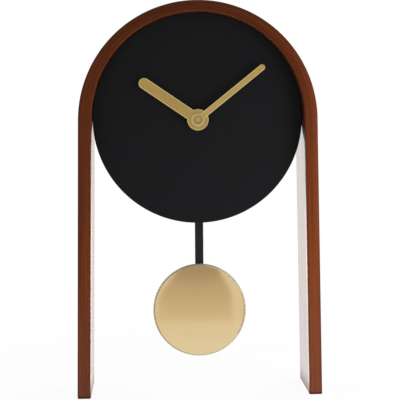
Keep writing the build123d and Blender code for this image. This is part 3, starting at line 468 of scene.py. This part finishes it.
def spun_brass():
    """Satin brass with faint rings from spinning; the attribute edge marks its dull rim."""
    tints = colours()
    made = new_finish("spun_brass")
    place = made.place()
    back = tuple(-(BOB_LOW + BOB_HIGH) / 2)
    about = made.add("Mapping", {"Vector": place, "Location": back}).outputs[0]
    flat = made.add("VectorMath", {0: about, 1: (1.0, 0.0, 1.0)}, operation="MULTIPLY").outputs[0]
    far = made.add("VectorMath", {0: flat}, operation="LENGTH").outputs["Value"]
    rings = made.noise(made.add("CombineXYZ", {"X": far}).outputs[0], 3800.0)
    cloud = made.noise(place, 70.0, 4.0)
    edge = made.mark("edge")
    share = made.spread(cloud, to=(0.0, 1.0), over=(0.3, 0.7))
    varied = made.mix(share, shade_of(tints.bob_brass, 0.985), tints.bob_brass)
    shine = made.spread(cloud, to=(0.12, 0.15), over=(0.3, 0.7))
    values = {
        "Base Color": made.mix(edge, varied, tints.bob_rim),
        "Metallic": made.spread(edge, to=(1.0, 0.0), over=(0.0, 0.5)),
        "Roughness": made.math("ADD", shine, made.spread(edge, to=(0.0, 0.75))),
    }
    return made.done(values, bump=(rings, 0.02, 0.000002))


def wound_copper(name, axis):
    """Enamelled wire: close ridges across the axis of the coil."""
    made = new_finish(name)
    inputs = {"Vector": made.place(), "Scale": 900.0, "Distortion": 0.6, "Detail": 1.0}
    turns = made.add("TexWave", inputs, wave_type="BANDS", bands_direction=axis).outputs["Fac"]
    wire = colours().copper
    values = {
        "Base Color": made.mix(turns, shade_of(wire, 0.45), wire),
        "Metallic": 0.6,
        "Roughness": 0.35,
    }
    return made.done(values, bump=(turns, 0.5, 0.00008))


def cell_sleeve():
    """Plain battery sleeve with a pale band at the raised end and a slight orange peel."""
    tints = colours()
    made = new_finish("cell_sleeve")
    place = made.place()
    peel = made.noise(place, 1500.0, 2.0)
    scuff = made.noise(place, 120.0, 5.0, stretch=(0.2, 1, 1))
    band = made.math("LESS_THAN", made.parts(place)["X"], CELL_LOW.x + CELL_BAND)
    two_tone = made.mix(band, tints.sleeve, tints.sleeve_band)
    bare = made.mark("edge")
    values = {
        "Base Color": made.mix(bare, two_tone, tints.steel),
        "Metallic": made.spread(bare, to=(0.0, 1.0)),
        "Roughness": made.spread(scuff, to=(0.28, 0.46), over=(0.3, 0.7)),
    }
    return made.done(values, bump=(peel, 0.15, 0.00004))


# Surfaces
def held(values):
    """Values held between nought and one."""
    return np.clip(values, 0.0, 1.0)


def grid_faces(rows, columns, close_rows, close_columns):
    """Quads of a grid of points; a closed direction joins its last line to its first."""
    row = np.arange(rows if close_rows else rows - 1)
    column = np.arange(columns if close_columns else columns - 1)
    row, column = (part.ravel() for part in np.meshgrid(row, column, indexing="ij"))
    next_row = (row + 1) % rows
    next_column = (column + 1) % columns
    corners = (row * columns + column, next_row * columns + column)
    corners += (next_row * columns + next_column, row * columns + next_column)
    return np.stack(corners, axis=1)


def put(name, points, faces, body, node, finish, slot, sharp=30.0, **attributes):
    """Mesh of the points and faces, riding on a body in place of a node.

    Points that meet are joined, which closes poles, and the faces are turned outwards. Shading is
    smooth, except where two faces meet at more than the sharp angle, in degrees.
    """
    mesh = bpy.data.meshes.new(name)
    mesh.from_pydata(points.reshape(-1, 3).tolist(), [], [list(face) for face in faces])
    for key, values in attributes.items():
        vector = np.ndim(values) > 1
        layer = mesh.attributes.new(key, "FLOAT_VECTOR" if vector else "FLOAT", "POINT")
        layer.data.foreach_set("vector" if vector else "value", np.ravel(values).astype(np.float32))
    shape = bmesh.new()
    shape.from_mesh(mesh)
    bmesh.ops.remove_doubles(shape, verts=shape.verts, dist=JOIN)
    bmesh.ops.dissolve_degenerate(shape, edges=shape.edges, dist=SLIVER)
    bmesh.ops.recalc_face_normals(shape, faces=shape.faces)
    shape.to_mesh(mesh)
    shape.free()
    mesh.shade_smooth()
    mesh.set_sharp_from_angle(angle=radians(sharp))
    mesh.materials.append(finish)
    piece = bpy.data.objects.new(name, mesh)
    bpy.context.scene.collection.objects.link(piece)
    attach(piece, body)
    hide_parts(node)


def arc(centre, radius, start, end, steps):
    """Points of an arc: centre plus radius times the cosine and sine of evenly spaced angles."""
    angle = np.linspace(start, end, steps + 1)
    across = centre[0] + radius * np.cos(angle)
    upward = centre[1] + radius * np.sin(angle)
    return np.stack([across, upward], axis=1)


def turned(profile, centre, steps, axis="Y"):
    """Profile of (radius, depth) round an axis: radius times cosine and sine, at its own depth."""
    angle = np.linspace(0.0, 2.0 * pi, steps, endpoint=False)[:, None]
    radius = profile[None, :, 0]
    depth = np.broadcast_to(profile[None, :, 1], (steps, len(profile)))
    across = radius * np.cos(angle)
    upward = radius * np.sin(angle)
    if axis == "Y":
        return np.stack([centre[0] + across, depth, centre[2] + upward], axis=2)
    return np.stack([depth, centre[1] + across, centre[2] + upward], axis=2)


def round_values(values, steps):
    """One value per profile point, repeated for every step round the axis."""
    return np.broadcast_to(values, (steps, len(values))).ravel()


def rounded_loop(half_a, half_b, radius, steps, runs):
    """Rounded rectangles, one per row.

    Four quarter arcs lie about the corner centres, and each straight run between two of them has
    points at the given shares of its length.
    """
    signs = np.array([(1, 1), (-1, 1), (-1, -1), (1, -1)])
    start = np.array([0.0, 0.5, 1.0, 1.5]) * pi
    angle = start[:, None] + np.linspace(0.0, 0.5 * pi, steps + 1)
    reach = np.stack([half_a - radius, half_b - radius], axis=-1)
    inner = reach[:, None, None, :] * signs[None, :, None, :]
    ring = np.stack([np.cos(angle), np.sin(angle)], axis=-1)[None] * radius[:, None, None, None]
    corner = inner + ring
    following = np.roll(corner, -1, axis=1)[:, :, :1]
    share = np.array(runs)[None, None, :, None]
    run = corner[:, :, -1:] * (1.0 - share) + following * share
    return np.concatenate([corner, run], axis=2).reshape(len(half_a), -1, 2)


def arch_surface():
    """Strip of wood: a rounded rectangle carried up one leg, round the bend and down the other.

    The inner and the outer bend have their own centres and radii. A point takes its centre and
    radius between the two by its share of the thickness, and on the bend it lies at that radius,
    at the angle of its section. On a leg it lies on the line that leaves its bend tangentially, by
    a share of the way down to the table. Near each foot the section shrinks by the radius of the
    round times one minus the cosine of its angle.
    """
    size = sizes()
    half_a = size.leg_thickness / 2
    half_b = (ARCH_HIGH.y - ARCH_LOW.y) / 2
    lean = size.leg_splay
    inner_radius = size.arch_radius - size.leg_thickness
    inner_centre = ARCH_HIGH.z - size.crown_thickness - inner_radius
    outer_centre = ARCH_HIGH.z - size.arch_radius
    middle = inner_radius + half_a
    turn = np.linspace(0.5 * pi, 0.0, FOOT_ROWS)
    share = 1.0 - np.linspace(size.wood_round / inner_centre, 1.0, LEG_ROWS)
    level = np.zeros(len(share) - 1)
    inset = np.concatenate([size.wood_round * (1.0 - np.cos(turn)), level])
    lift = np.concatenate([size.wood_round * (1.0 - np.sin(turn)), level])[:, None]
    swing = np.linspace(lean, pi - lean, BEND_ROWS)[1:-1]
    insets = np.concatenate([inset, np.zeros(len(swing)), inset[::-1]])
    corner = np.maximum(size.wood_round - insets, LEAST_CORNER)
    section = rounded_loop(half_a - insets, half_b - insets, corner, ROUND_STEPS, SIDE_SHARES)
    offset, depth = section[..., 0], section[..., 1]
    radius = middle + offset
    centre = inner_centre + (outer_centre - inner_centre) * (0.5 + offset / size.leg_thickness)
    legs = len(inset)

    top_x = radius[:legs] * np.cos(lean)
    top_z = centre[:legs] + radius[:legs] * np.sin(lean)
    way = np.concatenate([np.ones(len(turn)), share[1:]])[:, None]
    gone = top_z / np.cos(lean) * way - lift / np.cos(lean)
    leg_x = top_x + gone * np.sin(lean)
    leg = np.stack([leg_x, depth[:legs], top_z - gone * np.cos(lean)], axis=2)
    bend_x = radius[legs:-legs] * np.cos(swing)[:, None]
    bend_z = centre[legs:-legs] + radius[legs:-legs] * np.sin(swing)[:, None]
    bend = np.stack([bend_x, depth[legs:-legs], bend_z], axis=2)
    other = leg[::-1] * np.array([-1.0, 1.0, 1.0])
    points = np.concatenate([leg, bend, other])

    along_leg = gone.mean(axis=1) + middle * (0.5 * pi - lean)
    along = np.concatenate([along_leg, middle * (0.5 * pi - swing), -along_leg[::-1]])[:, None]
    board = np.broadcast_to(size.grain_start + along, offset.shape)
    grain = np.stack([board, offset, depth], axis=2).reshape(-1, 3)
    edge, lacquer = arch_marks(points, offset, depth, half_a, half_b, inner_centre)
    rows, columns = offset.shape
    ends = (range(columns), range((rows - 1) * columns, rows * columns))
    faces = [*grid_faces(rows, columns, False, True), *ends]
    return points, faces, {"grain": grain, "edge": edge.ravel(), "lacquer": lacquer.ravel()}


def arch_marks(points, offset, depth, half_a, half_b, bend_height):
    """Values of the finish at each point of the arch: the edge mark and the share of lacquer.

    Nearness to a face grows over the width of a round and is one on the face. Outside, the edge
    mark is minus twice the lesser nearness to the two faces that meet in a round, and paints shade
    on the outer rounds. Inside, it is the greater of two values and paints a highlight: on the
    front round the nearness to the inner face, counted from the start of the painted highlight
    line, and behind it the strip share times what is left of the highlight width. It fades towards
    the floor and towards the bend. The lacquer inside is its mean less a fall by depth, times the
    gloss of the leg, the fade at the floor and the way in from the edge over the width of a round,
    and at least the edge mark. Outside, it grows from nought where a round ends to one past that
    width.
    """
    size = sizes()
    height = points[..., 2]
    inside = offset < 0.0
    from_edge = half_b - np.abs(depth)
    near_a = 1.0 - held((half_a - np.abs(offset)) / size.wood_round)
    near_b = 1.0 - held(from_edge / size.wood_round)
    rounds = held(2.0 * np.minimum(near_a, near_b))
    front_round = (near_b > 0.0) & (depth < 0.0)
    # Painted highlight on the inner half of the front round.
    pale = held((near_a - HIGHLIGHT_START) / HIGHLIGHT_GROWTH) * front_round
    # Painted highlight strip on the inner face, behind the front round.
    behind = 1.0 - held((half_b + depth - size.wood_round) / size.rubbed_and_highlight_width)
    painted_sheen = HIGHLIGHT_STRIP_SHARE * behind * (near_a > ON_FACE)
    off_floor = held(FLOOR_SHARE + (1.0 - FLOOR_SHARE) * height / FLOOR_FADE)
    on_legs = off_floor * held((bend_height - height) / BEND_FADE)
    # Inside, the mark paints a highlight; outside it is negative and paints shade on the rounds.
    edge = np.where(inside, on_legs * np.maximum(pale, painted_sheen), -rounds)

    leg_gloss = np.where(points[..., 0] < 0.0, size.left_gloss, 1.0)
    cover = LACQUER_MEAN - LACQUER_FALL * depth / half_b
    bright = held(from_edge / size.wood_round) * cover * leg_gloss * off_floor
    sheer = held((from_edge - size.wood_round) / size.rubbed_and_highlight_width)
    lacquer = np.where(inside, np.maximum(bright, edge), sheer)
    return edge, lacquer


def hand_outline(half, hub, tip_centre):
    """Closed outline of a hand: up one side, round the tip, down the other side, round the hub."""
    meet = np.sqrt(hub**2 - half**2)
    side = np.linspace(meet, tip_centre, SIDE_STEPS)
    right = np.stack([np.full(SIDE_STEPS, half), side], axis=1)
    tip = arc((0.0, tip_centre), half, 0.0, pi, TIP_STEPS)[1:-1]
    left = right[::-1] * np.array([-1.0, 1.0])
    corner = np.arctan2(meet, half)
    round_hub = arc((0.0, 0.0), hub, pi - corner, 2.0 * pi + corner, HUB_STEPS)[1:-1]
    return np.concatenate([right, tip, left, round_hub])


def hand_surface(front, back, angle, long, width, hub, bore):
    """Outline carried through the thickness: wall, bevel and flat front, bore and flat back.

    Each ring is the outline drawn in by its inset; the bore has the bearings of the outline's own
    points, and the whole is turned clockwise by the angle.
    """
    bevel = sizes().hand_bevel
    half = width / 2
    tip_centre = long - half
    outer, inner, flat = (
        hand_outline(half - inset, hub - inset, tip_centre)
        for inset in (0.0, bevel, FLAT_INSET * bevel)
    )
    bearing = np.arctan2(outer[:, 1], outer[:, 0])
    hole = bore * np.stack([np.cos(bearing), np.sin(bearing)], axis=1)
    rings = np.stack([hole, outer, outer, inner, flat, hole], axis=1)
    depth = np.array([back, back, front + BEVEL_FALL * bevel, front, front, front])
    across = rings[..., 0] * np.cos(angle) + rings[..., 1] * np.sin(angle)
    upward = rings[..., 1] * np.cos(angle) - rings[..., 0] * np.sin(angle)
    deep = np.broadcast_to(depth, across.shape)
    points = np.stack([across + HAND_AXIS[0], deep, upward + HAND_AXIS[2]], axis=2)
    # Painted highlight on the walls and the bevel.
    edge = round_values(HAND_HIGHLIGHTS, len(points))
    return points, grid_faces(*across.shape, True, True), edge


def dome_profile(radius, rear, depth, lip, corner):
    """Half section of the bob: straight wall, rounded shoulder, shallow sphere.

    The shoulder touches the wall and the sphere: its centre is a corner radius inside both.
    """
    rise = depth - lip
    ball = (radius**2 + rise**2) / (2.0 * rise)
    ball_centre = rear - depth + ball
    shoulder_r = radius - corner
    shoulder_y = ball_centre - np.sqrt((ball - corner) ** 2 - shoulder_r**2)
    meet = np.arctan2(ball_centre - shoulder_y, shoulder_r)
    around = np.linspace(0.0, meet, SHOULDER_STEPS)
    outward = shoulder_r + corner * np.cos(around)
    shoulder = np.stack([outward, shoulder_y - corner * np.sin(around)], axis=1)
    tilt = np.linspace(0.5 * pi - meet, 0.0, SPHERE_STEPS)[1:]
    sphere = np.stack([ball * np.sin(tilt), ball_centre - ball * np.cos(tilt)], axis=1)
    wall = np.array([(radius, rear), (radius, 0.5 * (rear + shoulder_y))])
    return np.concatenate([wall, shoulder, sphere])


# Operators
class CLOCK_OT_arch(bpy.types.Operator):
    """Make the bent wooden arch"""

    bl_idname = "clock.arch"
    bl_label = "Wooden arch"

    def execute(self, context):
        points, faces, marks = arch_surface()
        put(
            "wooden_arch",
            points,
            faces,
            "clock_frame",
            "arch_frame",
            lacquered_wood(),
            "walnut_lacquer",
            **marks,
        )
        return {"FINISHED"}


class CLOCK_OT_dial(bpy.types.Operator):
    """Make the round dial with its rounded rim and its bore"""

    bl_idname = "clock.dial"
    bl_label = "Dial"

    def execute(self, context):
        size = sizes()
        radius = (DIAL_HIGH.x - DIAL_LOW.x) / 2 + size.dial_snug
        edge = size.dial_round
        front, back = DIAL_LOW.y, DIAL_HIGH.y
        steps = 2 * size.segments
        front_round = arc((radius - edge, front + edge), edge, -0.5 * pi, 0.0, ROUND_STEPS)
        back_round = arc((radius - edge, back - edge), edge, 0.0, 0.5 * pi, ROUND_STEPS)
        flat = radius - 2 * edge
        profile = np.concatenate([[(flat, front)], front_round, back_round, [(flat, back)]])
        rim = turned(profile, (DIAL_LOW + DIAL_HIGH) / 2, steps)
        bore = turned(np.array([(size.dial_bore, front), (size.dial_bore, back)]), HAND_AXIS, steps)
        points = np.concatenate([bore[:, :1], rim, bore[:, 1:]], axis=1)
        faces = grid_faces(*points.shape[:2], True, True)
        put("painted_dial", points, faces, "clock_frame", "dial", matt_dial(), "dial_black")
        return {"FINISHED"}


class CLOCK_OT_hands(bpy.types.Operator):
    """Make the hour hand and the minute hand"""

    bl_idname = "clock.hands"
    bl_label = "Hands"

    def execute(self, context):
        size = sizes()
        hour = (HOUR_LOW.y, HOUR_HIGH.y, size.hour_angle, size.hour_length)
        hour += (size.hour_width, size.hour_hub, size.hour_bore)
        minute = (MINUTE_LOW.y, MINUTE_HIGH.y, size.minute_angle, size.minute_length)
        minute += (size.minute_width, size.minute_hub, size.minute_bore)
        for name, body, node, shape, painted_brightness in (
            ("hour_blade", "hour_train", "hour_hand", hour, HOUR_PAINTED_LIGHT),
            ("minute_blade", "minute_train", "minute_hand", minute, MINUTE_PAINTED_LIGHT),
        ):
            points, faces, edge = hand_surface(*shape)
            finish = satin_gold("satin_gold_" + name, shape[2], painted_brightness)
            put(name, points, faces, body, node, finish, "hand_gold", sharp=18.0, edge=edge)
        return {"FINISHED"}


class CLOCK_OT_cap(bpy.types.Operator):
    """Make the cap that holds the hands, with a rounded rim and a dished face"""

    bl_idname = "clock.cap"
    bl_label = "Hand cap"

    def execute(self, context):
        size = sizes()
        steps = size.segments // 2
        radius = (CAP_HIGH.x - CAP_LOW.x) / 2
        front, back = CAP_LOW.y, CAP_HIGH.y
        small = size.cap_round
        lip_round = 0.5 * small
        floor = front + size.cap_dish_depth
        inner = 0.5 * size.cap_dish_depth
        dish = size.cap_dish
        sag = [(share * dish, floor + drop * CAP_SAG) for share, drop in SAG_SHARES]
        slope = arc((dish - inner, floor - inner), inner, 0.5 * pi, 0.0, SLOPE_STEPS)
        lip = arc((dish + lip_round, front + lip_round), lip_round, pi, 1.5 * pi, ROUND_STEPS)
        rim = arc((radius - small, front + small), small, -0.5 * pi, 0.0, RIM_STEPS)
        rear = ((radius, back - CAP_BAND), (radius, back), (0.0, back))
        profile = np.concatenate([sag, slope, lip, rim, rear])
        # The lip and rim carry a painted highlight, the slope of the hollow painted shade.
        raised = np.ones(len(lip) + len(rim))
        marks = np.concatenate([SAG_LIGHT_AND_SHADE, np.full(len(slope), -1.0), raised, np.zeros(len(rear))])
        points = turned(profile, HAND_AXIS, steps)
        faces = grid_faces(steps, len(profile), True, False)
        finish = satin_gold("satin_gold_cap", 0.0, CAP_PAINTED_LIGHT)
        edge = round_values(marks, steps)
        put("dished_cap", points, faces, "minute_train", "hand_cap", finish, "hand_gold", edge=edge)
        return {"FINISHED"}


class CLOCK_OT_bob(bpy.types.Operator):
    """Make the domed shell of the bob"""

    bl_idname = "clock.bob"
    bl_label = "Bob"

    def execute(self, context):
        size = sizes()
        steps = size.segments
        radius = (BOB_HIGH.x - BOB_LOW.x) / 2
        depth = BOB_HIGH.y - BOB_LOW.y
        rear = BOB_HIGH.y
        wall = size.bob_wall
        lip, corner = size.bob_lip, size.bob_round
        outside = dome_profile(radius, rear, depth, lip, corner)
        inside = dome_profile(radius - wall, rear, depth - wall, lip - wall / 2, corner - wall)
        profile = np.concatenate([outside, inside[::-1]])
        dull = np.zeros(len(profile))
        dull[:DULL_POINTS] = 1.0
        dull[DULL_POINTS : DULL_POINTS + len(DULL_FADE)] = DULL_FADE
        dull[-DULL_INNER_POINTS:] = 1.0
        points = turned(profile, (BOB_LOW + BOB_HIGH) / 2, steps)
        faces = grid_faces(steps, len(profile), True, True)
        put(
            "domed_bob",
            points,
            faces,
            "pendulum",
            "bob_shell",
            spun_brass(),
            "bob_brass",
            sharp=40.0,
            edge=round_values(dull, steps),
        )
        return {"FINISHED"}


class CLOCK_OT_cell(bpy.types.Operator):
    """Make the battery with its raised end, rolled shoulders and plain sleeve"""

    bl_idname = "clock.cell"
    bl_label = "Battery"

    def execute(self, context):
        size = sizes()
        steps = size.segments // 2
        radius = (CELL_HIGH.z - CELL_LOW.z) / 2
        start, end = CELL_LOW.x, CELL_HIGH.x
        shoulder = start + size.cell_nub_length
        nub = size.cell_nub
        roll = CELL_ROLL
        small = roll / 2
        rim = radius - RIM_ROLLS * roll
        hollow = end - BASE_HOLLOW
        raised = np.array([(0.0, start), (nub - small, start)])
        nub_round = arc((nub - small, start + small), small, -0.5 * pi, 0.0, NUB_STEPS)
        disc = np.array([(nub, shoulder), (rim, shoulder + DISC_RISE)])
        front_roll = arc((radius - roll, shoulder + roll), roll, -0.5 * pi, 0.0, ROUND_STEPS)
        rear_roll = arc((radius - roll, end - roll), roll, 0.0, 0.5 * pi, ROUND_STEPS)
        base = np.array([(rim, end), (radius - HOLLOW_ROLLS * roll, hollow), (0.0, hollow)])
        profile = np.concatenate([raised, nub_round, disc, front_roll, rear_roll, base])
        bare = np.ones(len(profile))
        first = len(raised) + len(nub_round) + len(disc)
        bare[first : first + len(front_roll) + len(rear_roll)] = 0.0
        points = turned(profile, (CELL_LOW + CELL_HIGH) / 2, steps, "X")
        faces = grid_faces(steps, len(profile), True, False)
        put(
            "sleeved_cell",
            points,
            faces,
            "clock_frame",
            "battery",
            cell_sleeve(),
            "cell_sleeve",
            edge=round_values(bare, steps),
        )
        return {"FINISHED"}


class CLOCK_OT_movement(bpy.types.Operator):
    """Give the movement, the rod and the fittings their finishes"""

    bl_idname = "clock.movement"
    bl_label = "Movement and fittings"

    def execute(self, context):
        tints = colours()
        # Slot, material, colour, metal, roughness, scale of the grain, depth of the bump
        rows = (
            ("rod_black", "rod_paint", tints.rod_black, 0.0, 0.5, 900.0, 0.00006),
            ("brass", "turned_brass", tints.brass, 1.0, 0.3, 1800.0, 0.00003),
            ("steel", "plated_steel", tints.steel, 1.0, 0.32, 1500.0, 0.00003),
            ("motor_iron", "stamped_iron", tints.iron, 1.0, 0.42, 700.0, 0.00004),
            ("magnet", "sintered_magnet", tints.magnet, 0.4, 0.5, 1200.0, 0.00006),
            ("case_plastic", "case_plastic", tints.plastic_black, 0.0, 0.5, 1600.0, 0.00008),
            ("wheel_plastic", "wheel_plastic", tints.plastic_pale, 0.0, 0.4, 900.0, 0.00003),
            ("bobbin_plastic", "bobbin_plastic", tints.plastic_bobbin, 0.0, 0.45, 900.0, 0.00003),
            ("board_green", "board_mask", tints.board, 0.0, 0.3, 400.0, 0.00004),
            ("chip_black", "chip_resin", tints.chip, 0.0, 0.55, 2000.0, 0.00004),
            ("rubber", "gasket_rubber", tints.rubber, 0.0, 0.7, 700.0, 0.00008),
        )
        extras = {
            "rod_black": {"stretch": (1, 1, 0.1), "level": 0.2},
            "steel": {"stretch": (1, 1, 0.2), "tone": 0.05},
            "wheel_plastic": {"tone": 0.04},
            "bobbin_plastic": {"tone": 0.05},
            "board_green": {"coat": 0.4},
        }
        finishes = {slot: plain_finish(*row, **extras.get(slot, {})) for slot, *row in rows}
        coils = {
            "coil_winding": wound_copper("motor_winding", "X"),
            "pendulum_coil_winding": wound_copper("drive_winding", "Y"),
        }
        slots = {part["node"]: part["material_slot"] for part in frame["record"]["subparts"]}
        for node, piece in frame["nodes"].items():
            finish = coils.get(node) or finishes.get(slots[node])
            if finish:
                piece.data.materials.clear()
                piece.data.materials.append(finish)
        return {"FINISHED"}


class CLOCK_OT_stage(bpy.types.Operator):
    """Set up the white floor, the soft lamps, the surroundings and the camera"""

    bl_idname = "clock.stage"
    bl_label = "Stage"

    def execute(self, context):
        scene = context.scene
        scene.view_settings.view_transform = "Standard"
        lay_floor()
        for lamp in LAMPS:
            hang_lamp(*lamp)
        build_surroundings(scene)
        camera = bpy.data.objects.new("camera", bpy.data.cameras.new("camera"))
        camera.data.lens = CAMERA_LENS
        camera.data.sensor_width = CAMERA_SENSOR
        camera.location = CAMERA_PLACE
        camera.rotation_euler = tuple(radians(turn) for turn in CAMERA_DEGREES)
        scene.collection.objects.link(camera)
        scene.camera = camera
        return {"FINISHED"}


def lay_floor():
    """White floor, seen near white with the shadow of the clock left on it.

    In reflections the floor in front of the clock gives way to the room, slowly and then at a
    brink, and the floor behind the clock is a little brighter.
    """
    reach = FLOOR_REACH
    corners = [(-reach, -reach, 0), (reach, -reach, 0), (reach, reach, 0), (-reach, reach, 0)]
    mesh = bpy.data.meshes.new("floor")
    mesh.from_pydata(corners, [], [(0, 1, 2, 3)])
    floor = bpy.data.objects.new("floor", mesh)
    bpy.context.scene.collection.objects.link(floor)
    made = new_finish("white_floor")
    path = made.add("LightPath").outputs
    mirrored = path["Is Glossy Ray"]
    place = made.place()
    away = made.add("VectorMath", {0: place}, operation="LENGTH").outputs["Value"]
    deep = made.parts(place)["Y"]
    seen = made.math("MAXIMUM", path["Is Camera Ray"], mirrored)
    share = made.math("MULTIPLY", seen, made.spread(away, to=(0.94, 1.0), over=(0.15, 0.45)))
    behind = made.spread(deep, to=(0.0, BACK_GLOW), over=(0.0, 0.05))
    power = made.math("ADD", made.math("MULTIPLY", behind, mirrored), 1.0)
    matt = made.add("BsdfDiffuse", {"Color": opaque(FLOOR_TINT)}).outputs[0]
    glow = made.add("Emission", {"Color": opaque(WHITE), "Strength": power}).outputs[0]
    front = made.spread(deep, to=(1.0, 0.0), over=(-0.06, 0.0))
    slow = made.spread(away, to=(0.0, 0.75), over=(-0.02, 0.26))
    brink = made.spread(away, to=(0.0, 0.25), over=(0.14, 0.165))
    ahead = made.math("MULTIPLY", front, made.math("ADD", slow, brink))
    gone = made.math("MULTIPLY", ahead, mirrored)
    clear = made.add("BsdfTransparent").outputs[0]
    surface = made.blend(gone, made.blend(share, matt, glow), clear)
    made.add("OutputMaterial", {"Surface": surface})
    mesh.materials.append(made.block)


def hang_lamp(name, place, size, power):
    """Soft square lamp that looks at the middle of the clock."""
    lamp = bpy.data.lights.new(name, "AREA")
    lamp.size = size
    lamp.energy = power
    holder = bpy.data.objects.new(name, lamp)
    holder.location = place
    aim = (ARCH_LOW + ARCH_HIGH) / 2 - holder.location
    holder.rotation_euler = aim.to_track_quat("-Z", "Y").to_euler()
    holder.visible_glossy = False
    bpy.context.scene.collection.objects.link(holder)


def build_surroundings(scene):
    """White for the camera, even light for the object, and a dimmer room for reflections.

    The room lies in front of the clock. It is bounded by the distance to the side plus a lean that
    grows with the height, so it narrows upwards; its middle shifts a little with the height.
    """
    scene.world = bpy.data.worlds.new("studio")
    made = Finish(scene.world)
    path = made.add("LightPath").outputs
    toward = made.parts(made.add("TexCoord").outputs["Generated"])
    ahead = made.spread(toward["Y"], to=(1.0, 0.0), over=(-0.45, -0.25))
    shift = made.spread(toward["Z"], to=(0.045, -0.005), over=(-0.15, 0.75))
    aside = made.math("ABSOLUTE", made.math("ADD", toward["X"], shift))
    lean = made.spread(toward["Z"], to=(0.0, 0.42), over=(0.05, 1.0))
    between = made.spread(made.math("ADD", aside, lean), to=(1.0, 0.0), over=(0.68, 0.80))
    room = made.math("MULTIPLY", ahead, between)
    height = made.add("MapRange", {"Value": toward["Z"], "From Min": -1.0}).outputs["Result"]
    ramp = made.add("ValToRGB", {"Fac": height})
    stops = ramp.color_ramp.elements
    while len(stops) < len(ROOM_TINTS):
        stops.new(0.5)
    for stop, (at, tint) in zip(stops, ROOM_TINTS):
        stop.position = at
        stop.color = opaque(tint)
    open_side = made.mix(ahead, WHITE, OPEN_SIDE_TINT)
    seen = made.mix(room, open_side, ramp.outputs["Color"])
    power = made.spread(toward["Y"], to=(1.0, 1.0 + BACK_GLOW), over=(0.0, 0.3))
    mirrored = made.add("Background", {"Color": seen, "Strength": power}).outputs[0]
    even = made.add("Background", {"Color": opaque(WHITE), "Strength": EVEN_LIGHT}).outputs[0]
    white = made.add("Background", {"Color": opaque(WHITE), "Strength": 1.0}).outputs[0]
    lit = made.blend(path["Is Glossy Ray"], even, mirrored)
    through = made.blend(path["Is Transmission Ray"], lit, white)
    made.add("OutputWorld", {"Surface": made.blend(path["Is Camera Ray"], through, white)})


class CLOCK_PT_panel(bpy.types.Panel):
    """Lists the pieces of the clock with their sizes and colours"""

    bl_idname = "CLOCK_PT_panel"
    bl_label = "Desk Pendulum Clock"
    bl_space_type = "VIEW_3D"
    bl_region_type = "UI"
    bl_category = "Clock"

    def draw(self, context):
        for operator in OPERATORS:
            self.layout.operator(operator.bl_idname)
        for group in (context.scene.clock_sizes, context.scene.clock_colours):
            box = self.layout.box()
            for key in group.__annotations__:
                box.prop(group, key)


OPERATORS = (
    CLOCK_OT_arch,
    CLOCK_OT_dial,
    CLOCK_OT_hands,
    CLOCK_OT_cap,
    CLOCK_OT_bob,
    CLOCK_OT_cell,
    CLOCK_OT_movement,
    CLOCK_OT_stage,
)
CLASSES = (ClockSizes, ClockColours, *OPERATORS, CLOCK_PT_panel)


def register():
    """Register the classes and give every scene its sizes and colours."""
    for cls in CLASSES:
        bpy.utils.register_class(cls)
    bpy.types.Scene.clock_sizes = PointerProperty(type=ClockSizes)
    bpy.types.Scene.clock_colours = PointerProperty(type=ClockColours)


def unregister():
    """Take the sizes, the colours and the classes away again."""
    del bpy.types.Scene.clock_colours
    del bpy.types.Scene.clock_sizes
    for cls in reversed(CLASSES):
        bpy.utils.unregister_class(cls)


def main():
    """Make the pieces and the stage in order."""
    register()
    bpy.ops.clock.arch()
    bpy.ops.clock.dial()
    bpy.ops.clock.hands()
    bpy.ops.clock.cap()
    bpy.ops.clock.bob()
    bpy.ops.clock.cell()
    bpy.ops.clock.movement()
    bpy.ops.clock.stage()


if __name__ == "__main__":
    main()
